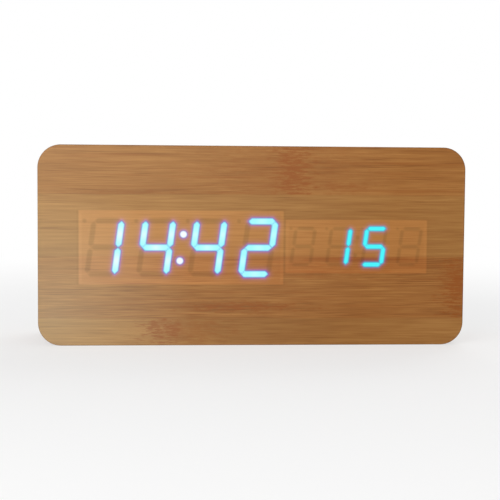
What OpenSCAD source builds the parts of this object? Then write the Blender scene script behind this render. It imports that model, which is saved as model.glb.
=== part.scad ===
// Wooden digital alarm clock: a veneered fibreboard case with two LED modules glowing through
// its thin front veneer, and a moulded back with buttons, a power socket and a battery bay.
// Millimetres. Origin at the centre of the base, front face towards -Y, +X right as seen from
// the front, +Z up. Outlines are drawn in the front view and given a depth along Y.

/* [Case] */
// Overall width
case_w = 150; // [146:1:180]
// Overall height
case_h = 70; // [68:1:90]
// Overall depth, front veneer to rear veneer
case_d = 40; // [38:1:60]
// Radius of the four long corners
corner_r = 8; // [6:0.5:10]
// Thickness of the bamboo veneer
veneer_t = 0.6; // [0.4:0.1:1]
// Rounding of the front and rear edges
edge_r = 0.4; // [0.1:0.1:0.4]
// Thickness of the fibreboard front
front_board_t = 9; // [8:0.5:12]
// Thickness of the fibreboard walls
wall_t = 7; // [6.5:0.5:8]
// Radius of the inside corners
cavity_r = 12; // [11:0.5:14]
// Width of fibreboard left round the moulded back
rim_w = 4; // [3.5:0.5:4.5]

/* [Displays] */
// Middle of both modules, from the case's middle line
display_x = 0.3; // [-1:0.1:1]
// Height of the time module's middle above the case's middle
display_rise = -0.6; // [-2:0.1:2]
// Height of the temperature module's middle above the time module's
temp_rise = 0.5; // [-2:0.1:2]
// Gap between the two modules
module_gap = 0.55; // [0.5:0.05:2]
// Gap round the modules in the front board
window_gap = 0.25; // [0.1:0.05:0.5]
// Gap between the modules and the back of the veneer
veneer_gap = 0.1; // [0.05:0.05:0.4]
// Lean of the digits in degrees
digit_slant = 7.7; // [0:0.1:10]
// Gap between neighbouring bars
bar_gap = 0.3; // [0.2:0.05:0.5]
// Depth of the resin that fills the bars
resin_depth = 6; // [3:0.5:6]
// Thickness of the modules' base boards
base_board_t = 1; // [0.8:0.1:1.4]
// Diameter of the module pins
pin_d = 0.6; // [0.4:0.1:0.8]
// Height of the time module
time_h = 26; // [24:0.5:28]
// Digit pitch of the time module
time_pitch = 17.9; // [16:0.1:18.5]
// Digit width of the time module
time_digit_w = 11.5; // [10:0.1:13]
// Digit height of the time module
time_digit_h = 20.5; // [16:0.1:22]
// Bar thickness of the time module
time_bar_t = 1.95; // [1.4:0.05:2.4]
// Distance of the decimal dots from the bars beside them in the time module
time_dot_reach = 3.3; // [2.2:0.1:4]
// Height of the temperature module
temp_h = 19; // [17:0.5:24]
// Digit pitch of the temperature module
temp_pitch = 12.6; // [11:0.1:13]
// Digit width of the temperature module
temp_digit_w = 8.1; // [7:0.1:9]
// Digit height of the temperature module
temp_digit_h = 14; // [11:0.1:15]
// Bar thickness of the temperature module
temp_bar_t = 1.35; // [1:0.05:1.7]
// Distance of the decimal dots from the bars beside them in the temperature module
temp_dot_reach = 1.8; // [1.4:0.1:2.4]

/* [Main board] */
// Thickness of both circuit boards
board_t = 1.6; // [1.2:0.1:2]
// Board beyond the time module, above and below
board_margin = 8; // [7:0.5:9]
// Gap between the main board and the case walls
board_clear = 3.4; // [2.5:0.1:4]
// Shank diameter of the board screws
board_screw_d = 2.2; // [1.8:0.1:2.6]
// Length of the main board screws in the front board
board_screw_l = 6; // [4:0.5:7]
// Diameter of the backup coin cell
coin_d = 20; // [16:1:22]
// Thickness of the backup coin cell
coin_t = 3.2; // [1.6:0.2:3.2]
// Diameter of the electrolytic capacitors
capacitor_d = 6.3; // [4:0.1:7]
// Height of the electrolytic capacitors
capacitor_h = 7; // [5:0.5:8]

/* [Moulded back] */
// Depth of the back below the rear rim
panel_recess = 1; // [1:0.25:2]
// Gap round the back in its rebate
panel_gap = 0.25; // [0.1:0.05:0.5]
// Thickness of the ledge under the battery door
ledge_t = 0.6; // [0.6:0.1:1]
// Shank diameter of the four back screws
back_screw_d = 2.6; // [2:0.1:3]
// Length of the back screws in the case wall
back_screw_l = 10; // [6:0.5:12]
// Head diameter of the back screws
back_head_d = 5; // [4:0.1:5.2]
// Hole diameter of the buzzer and air vents
vent_d = 1.5; // [1:0.1:1.8]

/* [Battery bay] */
// Number of cells
cell_count = 4; // [2:2:4]
// Cell diameter
cell_d = 10.5; // [9:0.1:11.5]
// Cell length over the positive nub
cell_l = 44.5; // [40:0.5:46]
// Gap between neighbouring cells
cell_gap = 0.5; // [0.3:0.1:0.6]
// Room between the cells and the door
cell_head = 0.4; // [0.3:0.1:0.6]
// Length of the contact springs under load
spring_l = 4.6; // [4.6:0.2:5.6]
// Thickness of the contact plates
contact_t = 0.4; // [0.3:0.1:0.6]
// Thickness of the bay's walls
bay_wall = 1.5; // [1:0.1:1.8]
// Moulded back left beside the door's hinge
hinge_side = 10.5; // [9.5:0.5:11]
// Thickness of the battery door
door_t = 2.4; // [2.2:0.1:3]
// Gap round the door
door_gap = 0.25; // [0.2:0.05:0.4]
// Lap of the door over the bay's upper and lower walls
door_lap = 1.8; // [1.8:0.1:2.6]
// Lap of the door past the bay at its latch
latch_lap = 6; // [6:0.25:7]
// Diameter of the door's hinge pins
hinge_pin_d = 1.4; // [1.2:0.1:1.6]
// Length of each hinge pin
hinge_pin_l = 1.8; // [1.2:0.1:2]
// Radial clearance of the hinge pins
hinge_clear = 0.05; // [0.03:0.01:0.1]

/* [Buttons and rear board] */
// Diameter of the three buttons
button_d = 8; // [6:0.5:10]
// Spacing of the buttons
button_pitch = 17; // [14:0.5:18]
// Height of the button row above the middle of the back
button_rise = 11; // [9:0.5:12]
// Radial gap round the buttons
button_gap = 0.2; // [0.1:0.05:0.4]
// Height of the buttons above the back
button_proud = 0.9; // [0.6:0.1:0.9]
// Travel of the buttons
button_travel = 0.5; // [0.3:0.1:0.6]
// Gap between the rear board and the case walls and battery door round it
rear_board_gap = 5; // [4:0.25:6]
// Length of the posts that carry the rear board
post_l = 7; // [6.5:0.5:9]
// Diameter of the posts
post_d = 6; // [5:0.5:6.5]
// Collar diameter of the power socket
jack_d = 7; // [6:0.1:8]
// Bore of the power socket
jack_bore = 3.6; // [3.5:0.1:4.2]
// Diameter of the power socket's pin
jack_pin_d = 1.3; // [1:0.1:1.4]
// Diameter of the buzzer
buzzer_d = 9; // [7:0.5:12]

/* [Hidden] */
$fn = 48;
// How far a cut runs past the face that it opens
over = 1;
switch_names = ["set", "up", "down"];

// Depths through the case, front to back
mid_z = case_h / 2;
display_z = mid_z + display_rise;
front_y = -case_d / 2;
rear_y = case_d / 2;
core_front_y = front_y + veneer_t;
core_rear_y = rear_y - veneer_t;
ring_front_y = core_front_y + front_board_t;
main_rear_y = ring_front_y + board_t;
module_front_y = core_front_y + veneer_gap;
housing_d = front_board_t - veneer_gap - base_board_t;
panel_t = door_t + ledge_t;
panel_out_y = rear_y - panel_recess;
panel_in_y = panel_out_y - panel_t;

// Outlines of the case
core_w = case_w - 2 * veneer_t;
core_h = case_h - 2 * veneer_t;
core_r = corner_r - veneer_t;
cavity_w = core_w - 2 * wall_t;
cavity_h = core_h - 2 * wall_t;
opening_w = core_w - 2 * rim_w;
opening_h = core_h - 2 * rim_w;
opening_r = core_r - rim_w;
panel_w = opening_w - 2 * panel_gap;
panel_h = opening_h - 2 * panel_gap;
panel_r = opening_r - panel_gap;
rim_e = min(edge_r, 0.8 * veneer_t);
back_head_h = 1.8;
back_head_sink = 0.2;
back_head_room = 0.2;
// Each back screw sits halfway between the rebate's corner and the cavity's corner
corner_share = 1 - cos(45);
back_screw_x = (opening_w + cavity_w) / 4 - corner_share * (opening_r + cavity_r) / 2;
back_screw_z = (opening_h + cavity_h) / 4 - corner_share * (opening_r + cavity_r) / 2;

// Both modules are as wide as their digits' pitch makes them, side by side about display_x
digits = 4;
time_w = digits * time_pitch;
temp_w = digits * temp_pitch;
time_x = display_x - (temp_w + module_gap) / 2;
temp_x = display_x + (time_w + module_gap) / 2;

// Displays: centre, width, height, pitch, digit width, digit height, bar thickness, dot reach,
// lit bars, colon lit
// Bars are numbered from the top one clockwise, with the middle one last
time_display = [[time_x, display_z], time_w, time_h, time_pitch, time_digit_w, time_digit_h, time_bar_t,
  time_dot_reach, [[1, 2], [1, 2, 5, 6], [1, 2, 5, 6], [0, 1, 3, 4, 6]], true];
temp_display = [[temp_x, display_z + temp_rise], temp_w, temp_h, temp_pitch, temp_digit_w, temp_digit_h,
  temp_bar_t, temp_dot_reach, [[], [1, 2], [0, 2, 3, 5, 6], []], false];
bar_places = [[0, 2], [1, 1], [1, -1], [0, -2], [-1, -1], [-1, 1], [0, 0]];
dot_share = 0.8;
colon_share = 1.15;
led_h = 0.8;
led_share = [0.7, 0.6];
pin_pitch = 2.54;
pins_in_row = 6;
pin_row_inset = 1.9;
pin_stub = 1;

// Main board and what stands on it, placed from the board's centre or an end
main_board_w = cavity_w - 2 * board_clear;
main_board_h = time_h + 2 * board_margin;
main_screw_inset = [4, 3.5];
board_head_d = 4.4;
board_head_h = 1.5;
controller_size = [18, 2.4, 7.6];
clock_chip_at = [-8, 12];
clock_chip_size = [5, 1.6, 4];
chip_lift = 0.2;
lead_pitch = 1.27;
lead_size = [0.4, 0.2, 1.2];
crystal_at = [4, 15];
crystal_size = [2, 6];
capacitor_inset = 7.5;
capacitor_at = [capacitor_inset - main_board_w / 2, 11];
coin_at = [15, -1];
coin_clear = 0.2;
holder_wall = 1.6;
holder_floor = 1;
resistor_inset = 12;
resistor_at = [main_board_w / 2 - resistor_inset, 0];
resistor_size = [2, 0.5, 1.25];
resistor_grid = [4, 3];
resistor_pitch = [3.4, 3];
connector_at = [-6, 0];
connector_size = [7.5, 6, 6];
connector_pitch = 2.5;

// Battery bay and door
cell_pitch = cell_d + cell_gap;
bay_l = cell_l + spring_l + 2 * contact_t;
bay_h = cell_count * cell_pitch;
hinge_r = door_t / 2;
hinge_x = panel_w / 2 - hinge_side - door_gap - hinge_r;
bay_right = hinge_x - hinge_r - 2 * door_gap - bay_wall;
bay_left = bay_right - bay_l;
bay_x = (bay_left + bay_right) / 2;
door_in_y = panel_out_y - door_t;
bay_floor_y = door_in_y - cell_head - cell_d;
cell_y = bay_floor_y + cell_d / 2;
nub_d = 3.8;
nub_h = 0.8;
rib_size = [1, 2.5];
contact_w = 8;
tab_size = [2.2, 0.4, 3];
tab_drop = 2.6;
tab_clear = 0.1;
spring_wire_d = 0.6;
spring_base_r = 3.2;
spring_tip_r = 2.2;
spring_curls = 3;
hinge_y = panel_out_y - hinge_r;
door_left = bay_left - latch_lap;
door_h = bay_h + 2 * door_lap;
latch_size = [1.2, 3.5, 10];
latch_nub = [0.5, 1.5];
latch_clear = 0.5;
latch_x = bay_left - bay_wall - 2 * latch_clear - latch_size.x;
grip_size = [1, 0.4, 16];
grip_count = 4;
grip_pitch = 2;

// Buttons, switches and the rear board, placed from the board's centre or an end
rear_board_left = rear_board_gap - cavity_w / 2;
rear_board_right = door_left - door_gap - rear_board_gap;
rear_board_w = rear_board_right - rear_board_left;
rear_board_h = cavity_h - 2 * rear_board_gap;
rear_board_x = (rear_board_left + rear_board_right) / 2;
board_rear_y = panel_in_y - post_l;
board_front_y = board_rear_y - board_t;
flange_t = 0.8;
flange_w = 0.8;
flange_gap = 0.1;
stem_d = 4;
button_mark_d = 2.6;
button_mark_h = 0.3;
switch_size = [6, 3.5, 6];
plunger_d = 3.4;
plunger_rise = 1.5;
plunger_hold = 1.5;
plunger_clear = 0.1;
post_inset = 3.5;
post_screw_l = 5;
jack_inset = 11.5;
jack_at = [jack_inset - rear_board_w / 2, -13];
jack_block = [9, 6.5, 9];
jack_sink = 0.4;
jack_clear = 0.2;
jack_floor = 1.2;
jack_pin_sink = 0.8;
buzzer_h = 5.5;
buzzer_hole_d = 1.6;
buzzer_hole_depth = 2;
vent_ring_r = 3;
vent_rings = 2;
sensor_inset = 8.5;
microphone_at = [rear_board_w / 2 - sensor_inset, -13];
microphone_d = 6;
microphone_h = 4.5;
microphone_hole_d = 2;
microphone_dimple = 0.5;
thermistor_at = [rear_board_w / 2 - sensor_inset, -2];
thermistor_d = 2.4;
thermistor_leg_d = 0.5;
thermistor_leg_l = 4;
thermistor_leg_pitch = 1.2;
slot_size = [8, 1.2];
slot_pitch = 2.4;
slot_count = 3;
buzzer_at = [(jack_at.x + jack_block.x / 2 + microphone_at.x - microphone_d / 2) / 2, -12];

// Ribbon with the controller beside it, and leads, whose bends are measured from their tabs
ribbon_w = 8;
ribbon_t = 1;
ribbon_bow = 4;
ribbon_steps = 20;
ribbon_gap = 1.5;
controller_at = [rear_board_x - ribbon_t / 2 - ribbon_gap - controller_size.x / 2, 0];
lead_d = 1.4;
lead_sides = 8;
lead_hold = 3;
lead_stub = 1.5;
lead_bends = [[-4.4, -2.6, 3.5], [-7.4, -5.6, 10]];

// Fields of a display
function centre(d) = d[0];
function module_w(d) = d[1];
function module_h(d) = d[2];
function bar_t(d) = d[6];
function span_w(d) = d[4] - bar_t(d);
function span_h(d) = d[5] - bar_t(d);
function dot_reach(d) = d[7];
function lit_in(d, i) = d[8][i];
function colon_lit(d) = d[9];
function digit_x(d, i) = centre(d).x + (i - (digits - 1) / 2) * d[3];
function listed(list, v) = len([for (x = list) if (x == v) x]) > 0;

// A point of the upright digit, given its lean and its place in the front view
function leaning(d, i, p) = [digit_x(d, i) + p.x + p.y * tan(digit_slant), centre(d).y + p.y];
function bar_centre(d, s) = [bar_places[s].x * span_w(d) / 2, bar_places[s].y * span_h(d) / 4];
function bar_upright(s) = bar_places[s].x != 0;
function bar_half(d, s) = (bar_upright(s) ? span_h(d) / 4 : span_w(d) / 2) - bar_gap / 2;

// The six corners of a bar, as a long hexagon along its own direction
function bar_outline(half, t) = [[-half, 0], [t / 2 - half, t / 2], [half - t / 2, t / 2],
  [half, 0], [half - t / 2, -t / 2], [t / 2 - half, -t / 2]];
function bar_points(d, i, s) = [for (p = bar_outline(bar_half(d, s), bar_t(d)))
  leaning(d, i, bar_centre(d, s) + (bar_upright(s) ? [p.y, p.x] : p))];
function dot_centre(d, i) = leaning(d, i, [-span_w(d) / 2 - dot_reach(d), span_h(d) / 2]);
function colon_centre(d, side) = leaning(d, 1, [d[3] / 2, side * span_h(d) / 4]);
function pin_places(d) = [for (row = [-1, 1], k = [0:pins_in_row - 1])
  centre(d) + [(k - (pins_in_row - 1) / 2) * pin_pitch, row * (module_h(d) / 2 - pin_row_inset)]];
function main_screw_places() = [for (x = [-1, 1], z = [-1, 1])
  [x * (main_board_w / 2 - main_screw_inset.x), display_z + z * (main_board_h / 2 - main_screw_inset.y)]];
function post_places() = [for (x = [-1, 1], z = [-1, 1])
  on_rear([x * (rear_board_w / 2 - post_inset), z * (rear_board_h / 2 - post_inset)])];
function back_screw_place(i) = [(i % 2 == 0 ? -1 : 1) * back_screw_x,
  mid_z + (i < 2 ? -1 : 1) * back_screw_z];
function on_main(p) = [p.x, display_z + p.y];
function on_rear(p) = [rear_board_x + p.x, mid_z + p.y];
function button_place(i) = on_rear([(i - 1) * button_pitch, button_rise]);
function cell_z(i) = mid_z + ((cell_count - 1) / 2 - i) * cell_pitch;
function spring_on_left(i) = i % 2 == 0;
function vent_places() = [for (r = [0:vent_rings], k = [0:max(6 * r, 1) - 1])
  r * vent_ring_r * [cos(60 * k / max(r, 1)), sin(60 * k / max(r, 1))]];

// Tubes swept along points
function unit(v) = v / norm(v);
function directions(p) = [for (i = [0:len(p) - 1]) unit(p[min(i + 1, len(p) - 1)] - p[max(i - 1, 0)])];
function square_to(n, t) = unit(n - (n * t) * t);
function side_vectors(t) = [for (i = 0, n = square_to([0.1, 0.2, 1], t[0]); i < len(t);
  i = i + 1, n = i < len(t) ? square_to(n, t[i]) : n) n];

// A smooth curve through hand-chosen points, with the given number of steps in each span
function smooth(p, steps) = concat([for (i = [0:len(p) - 2], k = [0:steps - 1])
  eased(p[max(i - 1, 0)], p[i], p[i + 1], p[min(i + 2, len(p) - 1)], k / steps)], [p[len(p) - 1]]);
function eased(a, b, c, d, t) = 0.5 * (2 * b + (c - a) * t + (2 * a - 5 * b + 4 * c - d) * t * t
  + (3 * b - a - 3 * c + d) * t * t * t);

// A conical spring along +X, with a short straight stretch at each end
spring_run = spring_l - 2 * spring_wire_d;
spring_steps = 8 * spring_curls;
function spring_points() = concat([[0, spring_base_r, 0]],
  [for (k = [0:spring_steps]) spring_point(k / spring_steps)], [[spring_l, spring_tip_r, 0]]);
function spring_point(t) = [spring_wire_d + spring_run * t,
  spring_radius(t) * cos(360 * spring_curls * t), spring_radius(t) * sin(360 * spring_curls * t)];
function spring_radius(t) = spring_base_r + (spring_tip_r - spring_base_r) * t;
function least_gap(p, apart, d) = min([for (i = [0:len(p) - 1], j = [0:len(p) - 1])
  if (j - i >= apart) norm(p[i] - p[j])]) - d;
echo(str("least gap between the curls of a contact spring, mm: ",
  least_gap(spring_points(), 5, spring_wire_d)));

module tube(p, d, sides) {
  t = directions(p);
  n = side_vectors(t);
  rings = [for (i = [0:len(p) - 1], k = [0:sides - 1])
    p[i] + d / 2 * (cos(360 * k / sides) * n[i] + sin(360 * k / sides) * cross(t[i], n[i]))];
  last = (len(p) - 1) * sides;
  walls = [for (i = [0:len(p) - 2], k = [0:sides - 1])
    let (a = i * sides + k, b = i * sides + (k + 1) % sides)
    each [[a, a + sides, b], [b, a + sides, b + sides]]];
  first_cap = [for (k = [1:sides - 2]) [0, k, k + 1]];
  last_cap = [for (k = [1:sides - 2]) [last, last + k + 1, last + k]];
  polyhedron(points = rings, faces = concat(walls, first_cap, last_cap));
}

// Shared shapes
module round_rect(w, h, r) {
  square([w - 2 * r, h], center = true);
  square([w, h - 2 * r], center = true);
  for (x = [-1, 1], z = [-1, 1])
    translate([x * (w / 2 - r), z * (h / 2 - r)])
      circle(r);
}

// Gives a front-view outline the depth t, from y towards the back
module slab(y, t) {
  translate([0, y + t, 0])
    rotate([90, 0, 0])
      linear_extrude(t)
        children();
}

module rod(at, y, t, d) {
  slab(y, t)
    translate(at)
      circle(d = d);
}

module block(at, y, size) {
  translate([at.x - size.x / 2, y, at.y - size.z / 2])
    cube(size);
}

// A sheet w by h with round corners and one rounded rim, which faces +Z
module eased_sheet(w, h, t, r, e) {
  rotate([90, 0, 90])
    translate([0, 0, r - w / 2])
      linear_extrude(w - 2 * r)
        eased_section(h, t, e);
  rotate([90, 0, 0])
    translate([0, 0, r - h / 2])
      linear_extrude(h - 2 * r)
        eased_section(w, t, e);
  for (x = [-1, 1], z = [-1, 1])
    translate([x * (w / 2 - r), z * (h / 2 - r), 0])
      rotate_extrude()
        intersection() {
          eased_section(2 * r, t, e);
          square([r, t]);
        }
}

module eased_section(w, t, e) {
  translate([-w / 2, 0])
    square([w, t - e]);
  translate([e - w / 2, 0])
    square([w - 2 * e, t]);
  intersection() {
    for (x = [-1, 1])
      translate([x * (w / 2 - e), t - e])
        circle(e);
    translate([-w / 2, 0])
      square([w, t]);
  }
}

// A screw along +Y with its head at the back, the underside of the head at y
module screw(at, y, d, l, head_d, head_h) {
  cross_l = 0.6 * head_d;
  cross_w = 0.12 * head_d;
  cross_depth = 0.55 * head_h;
  rod(at, y - l, l, d);
  difference() {
    rod(at, y, head_h, head_d);
    block(at, y + head_h - cross_depth, [cross_l, head_h, cross_w]);
    block(at, y + head_h - cross_depth, [cross_w, head_h, cross_l]);
  }
}

// Case
module front_veneer() {
  color("#b98f5c")
    translate([0, core_front_y, mid_z])
      rotate([90, 0, 0])
        eased_sheet(case_w, case_h, veneer_t, corner_r, rim_e);
}

module side_veneer() {
  color("#b58a57")
    slab(core_front_y, core_rear_y - core_front_y)
      translate([0, mid_z])
        difference() {
          round_rect(case_w, case_h, corner_r);
          round_rect(core_w, core_h, core_r);
        }
}

module rear_veneer() {
  color("#b98f5c")
    difference() {
      translate([0, core_rear_y, mid_z])
        rotate([-90, 0, 0])
          eased_sheet(case_w, case_h, veneer_t, corner_r, rim_e);
      slab(core_rear_y - over, veneer_t + 2 * over)
        translate([0, mid_z])
          round_rect(opening_w, opening_h, opening_r);
    }
}

module front_board() {
  color("#8d6e4e")
    difference() {
      slab(core_front_y, front_board_t)
        translate([0, mid_z])
          round_rect(core_w, core_h, core_r);
      slab(core_front_y - over, front_board_t + 2 * over)
        display_window();
      for (p = main_screw_places())
        rod(p, ring_front_y - board_screw_l, board_screw_l + over, board_screw_d);
    }
}

// Both modules' outlines, joined between them
module display_window() {
  time_right = time_x + time_w / 2;
  temp_left = temp_x - temp_w / 2;
  for (d = [time_display, temp_display])
    translate(centre(d))
      square([module_w(d) + 2 * window_gap, module_h(d) + 2 * window_gap], center = true);
  translate([(time_right + temp_left) / 2, centre(temp_display).y])
    square([temp_left - time_right + 2 * window_gap, temp_h + 2 * window_gap], center = true);
}

module case_ring() {
  color("#94744f")
    difference() {
      slab(ring_front_y, core_rear_y - ring_front_y)
        translate([0, mid_z])
          round_rect(core_w, core_h, core_r);
      slab(ring_front_y - over, case_d)
        translate([0, mid_z])
          round_rect(cavity_w, cavity_h, cavity_r);
      slab(panel_in_y, case_d)
        translate([0, mid_z])
          round_rect(opening_w, opening_h, opening_r);
      for (i = [0:3])
        rod(back_screw_place(i), panel_in_y - back_screw_l, back_screw_l + over, back_screw_d);
    }
}

// Moulded back
module rear_panel() {
  color("#232326")
    difference() {
      union() {
        slab(panel_in_y, panel_t)
          translate([0, mid_z])
            round_rect(panel_w, panel_h, panel_r);
        battery_tray();
        for (p = post_places())
          rod(p, board_rear_y, post_l + ledge_t, post_d);
      }
      battery_hollow();
      door_seat();
      back_holes();
      for (p = post_places())
        rod(p, board_rear_y - over, post_screw_l + over, board_screw_d);
    }
}

module battery_tray() {
  translate([bay_left - bay_wall, bay_floor_y - bay_wall, mid_z - bay_h / 2 - bay_wall])
    cube([bay_l + 2 * bay_wall, panel_in_y + ledge_t - bay_floor_y + bay_wall, bay_h + 2 * bay_wall]);
}

// Room for the cells, with low ribs left between them, and slots for the two terminal tabs
module battery_hollow() {
  difference() {
    translate([bay_left, bay_floor_y, mid_z - bay_h / 2])
      cube([bay_l, case_d, bay_h]);
    for (i = [0:cell_count - 2])
      block([bay_x, cell_z(i) - cell_pitch / 2], bay_floor_y - over,
        [cell_l / 2, rib_size.y + over, rib_size.x]);
  }
  for (i = [0, cell_count - 1])
    translate([bay_left - bay_wall - over, cell_y - tab_drop - tab_clear,
        cell_z(i) - tab_size.z / 2 - tab_clear])
      cube([bay_wall + 2 * over, tab_size.y + 2 * tab_clear, tab_size.z + 2 * tab_clear]);
}

// Rebate for the door, bores for its pins and a slot for its latch
module door_seat() {
  translate([door_left - door_gap, door_in_y, mid_z - door_h / 2 - door_gap])
    cube([hinge_x + hinge_r - door_left + 2 * door_gap, case_d, door_h + 2 * door_gap]);
  hinge_rod(door_h + 2 * hinge_pin_l + 2 * door_gap, hinge_pin_d + 2 * hinge_clear);
  translate([latch_x - latch_nub.x - latch_clear, panel_in_y - over, mid_z - latch_size.z / 2 - latch_clear])
    cube([latch_size.x + latch_nub.x + 2 * latch_clear, panel_t + 2 * over, latch_size.z + 2 * latch_clear]);
}

module hinge_rod(l, d) {
  translate([hinge_x, hinge_y, mid_z])
    cylinder(h = l, d = d, center = true);
}

module back_holes() {
  for (i = [0:2])
    rod(button_place(i), panel_in_y - over, panel_t + 2 * over, button_d + 2 * button_gap);
  for (i = [0:3]) {
    rod(back_screw_place(i), panel_in_y - over, panel_t + 2 * over, back_screw_d + 2 * back_head_room);
    rod(back_screw_place(i), panel_out_y - back_head_h - back_head_sink, panel_t,
      back_head_d + 2 * back_head_room);
  }
  rod(on_rear(jack_at), panel_in_y - over, panel_t + 2 * over, jack_d + 2 * jack_clear);
  rod(on_rear(microphone_at), panel_in_y - over, panel_t + 2 * over, microphone_hole_d);
  for (p = vent_places())
    rod(on_rear(buzzer_at + p), panel_in_y - over, panel_t + 2 * over, vent_d);
  for (k = [0:slot_count - 1])
    block(on_rear(thermistor_at + [0, (k - (slot_count - 1) / 2) * slot_pitch]), panel_in_y - 1,
      [slot_size.x, panel_t + 2 * over, slot_size.y]);
}

module rear_screw(i) {
  color("#8f9296")
    screw(back_screw_place(i), panel_out_y - back_head_h - back_head_sink, back_screw_d,
      back_screw_l + panel_t - back_head_h - back_head_sink, back_head_d, back_head_h);
}

// Battery bay
module battery_door() {
  color("#2b2b2f") {
    translate([door_left, door_in_y, mid_z - door_h / 2])
      cube([hinge_x - door_left, door_t, door_h]);
    hinge_rod(door_h, door_t);
    hinge_rod(door_h + 2 * hinge_pin_l, hinge_pin_d);
    translate([latch_x, door_in_y - latch_size.y, mid_z - latch_size.z / 2])
      cube([latch_size.x, latch_size.y + door_t / 2, latch_size.z]);
    translate([latch_x - latch_nub.x, door_in_y - latch_size.y, mid_z - latch_size.z / 2])
      cube([latch_nub.x + latch_size.x / 2, latch_nub.y, latch_size.z]);
    for (k = [0:grip_count - 1])
      translate([door_left + grip_pitch * (k + 1), panel_out_y - door_t / 2, mid_z - grip_size.z / 2])
        cube([grip_size.x, grip_size.y + door_t / 2, grip_size.z]);
  }
}

module aaa_cell(i) {
  end_x = spring_on_left(i) ? bay_left + contact_t + spring_l : bay_right - contact_t - spring_l;
  color("#3d6b8c")
    translate([end_x, cell_y, cell_z(i)])
      rotate([0, spring_on_left(i) ? 90 : -90, 0]) {
        cylinder(h = cell_l - nub_h, d = cell_d);
        cylinder(h = cell_l, d = nub_d);
      }
}

// Plates that join the cells in series, and two terminals with a tab through the wall
module battery_contacts() {
  color("#c9ccd0") {
    for (i = [0:2:cell_count - 2])
      contact_plate(bay_right - contact_t, cell_z(i + 1), cell_pitch);
    if (cell_count > 2)
      for (i = [1:2:cell_count - 3])
        contact_plate(bay_left, cell_z(i + 1), cell_pitch);
    for (i = [0, cell_count - 1]) {
      contact_plate(bay_left, cell_z(i), 0);
      translate([bay_left - bay_wall - tab_size.x, cell_y - tab_drop, cell_z(i) - tab_size.z / 2])
        cube([bay_wall + tab_size.x + contact_t, tab_size.y, tab_size.z]);
    }
  }
}

module contact_plate(x, low_z, span) {
  translate([x, cell_y - contact_w / 2, low_z - contact_w / 2])
    cube([contact_t, contact_w, contact_w + span]);
}

module battery_springs() {
  color("#d8dade")
    for (i = [0:cell_count - 1])
      translate([spring_on_left(i) ? bay_left + contact_t : bay_right - contact_t, cell_y, cell_z(i)])
        rotate([0, 0, spring_on_left(i) ? 0 : 180])
          tube(spring_points(), spring_wire_d, 6);
}

// A wire from a terminal tab, over its bends, straight down into the connector
module battery_lead(i, side) {
  tab = [bay_left - bay_wall - tab_size.x, cell_y - tab_drop + tab_size.y / 2, cell_z(i)];
  seat = on_main(connector_at + [0, side * connector_pitch / 2]);
  top_y = main_rear_y + connector_size.y;
  bends = [for (b = lead_bends) tab + [b.x, b.y, -side * b.z]];
  curve = concat([tab - [lead_stub, 0, 0]], bends, [[seat.x, top_y + lead_stub, seat.y]]);
  tube(concat([tab], smooth(curve, 2), [[seat.x, top_y, seat.y], [seat.x, top_y - lead_hold, seat.y]]),
    lead_d, lead_sides);
}

module battery_lead_red() {
  color("#c0392b")
    battery_lead(cell_count - 1, -1);
}

module battery_lead_black() {
  color("#1d1d1f")
    battery_lead(0, 1);
}

// Buttons
module button(i) {
  flange_y = panel_in_y - flange_gap - flange_t;
  plunger_top_y = board_rear_y + switch_size.y + plunger_rise;
  color("#3a3a3f") {
    rod(button_place(i), flange_y, panel_out_y + button_proud - button_mark_h - flange_y, button_d);
    rod(button_place(i), flange_y, flange_t, button_d + 2 * flange_w);
    rod(button_place(i), plunger_top_y, flange_y - plunger_top_y, stem_d);
    slab(panel_out_y, button_proud)
      translate(button_place(i))
        button_mark(switch_names[i]);
  }
}

// A round mark, or a triangle that points up or down
module button_mark(name) {
  if (name == "set")
    circle(d = button_mark_d);
  else
    rotate(name == "up" ? 90 : -90)
      circle(d = button_mark_d, $fn = 3);
}

module plunger(i) {
  color("#d9d4c7")
    rod(button_place(i), board_rear_y + switch_size.y - plunger_hold, plunger_rise + plunger_hold, plunger_d);
}

module switch_body(i) {
  color("#4b4b50")
    difference() {
      block(button_place(i), board_rear_y, switch_size);
      rod(button_place(i), board_rear_y + switch_size.y - plunger_hold - button_travel - plunger_clear,
        switch_size.y, plunger_d + 2 * plunger_clear);
    }
}

// Rear board and what stands on it
module rear_board() {
  color("#2c6e49")
    difference() {
      block(on_rear([0, 0]), board_front_y, [rear_board_w, board_t, rear_board_h]);
      for (p = post_places())
        rod(p, board_front_y - over, board_t + 2 * over, board_screw_d);
    }
}

module rear_board_screws() {
  color("#a3a6aa")
    for (p = post_places())
      mirror([0, 1, 0])
        screw(p, -board_front_y, board_screw_d, post_screw_l + board_t, board_head_d, board_head_h);
}

module dc_jack() {
  collar_top_y = panel_out_y - jack_sink;
  color("#26262a")
    difference() {
      union() {
        block(on_rear(jack_at), board_rear_y, jack_block);
        rod(on_rear(jack_at), board_rear_y, collar_top_y - board_rear_y, jack_d);
      }
      rod(on_rear(jack_at), board_rear_y + jack_floor, case_d, jack_bore);
    }
}

module dc_jack_pin() {
  pin_y = board_rear_y + jack_floor;
  color("#d0b46a")
    rod(on_rear(jack_at), pin_y, panel_out_y - jack_sink - jack_pin_sink - pin_y, jack_pin_d);
}

module buzzer() {
  color("#1b1b1d")
    difference() {
      rod(on_rear(buzzer_at), board_rear_y, buzzer_h, buzzer_d);
      rod(on_rear(buzzer_at), board_rear_y + buzzer_h - buzzer_hole_depth, buzzer_h, buzzer_hole_d);
    }
}

module microphone() {
  color("#b7babd")
    difference() {
      rod(on_rear(microphone_at), board_rear_y, microphone_h, microphone_d);
      rod(on_rear(microphone_at), board_rear_y + microphone_h - microphone_dimple, microphone_h,
        microphone_hole_d);
    }
}

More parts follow.
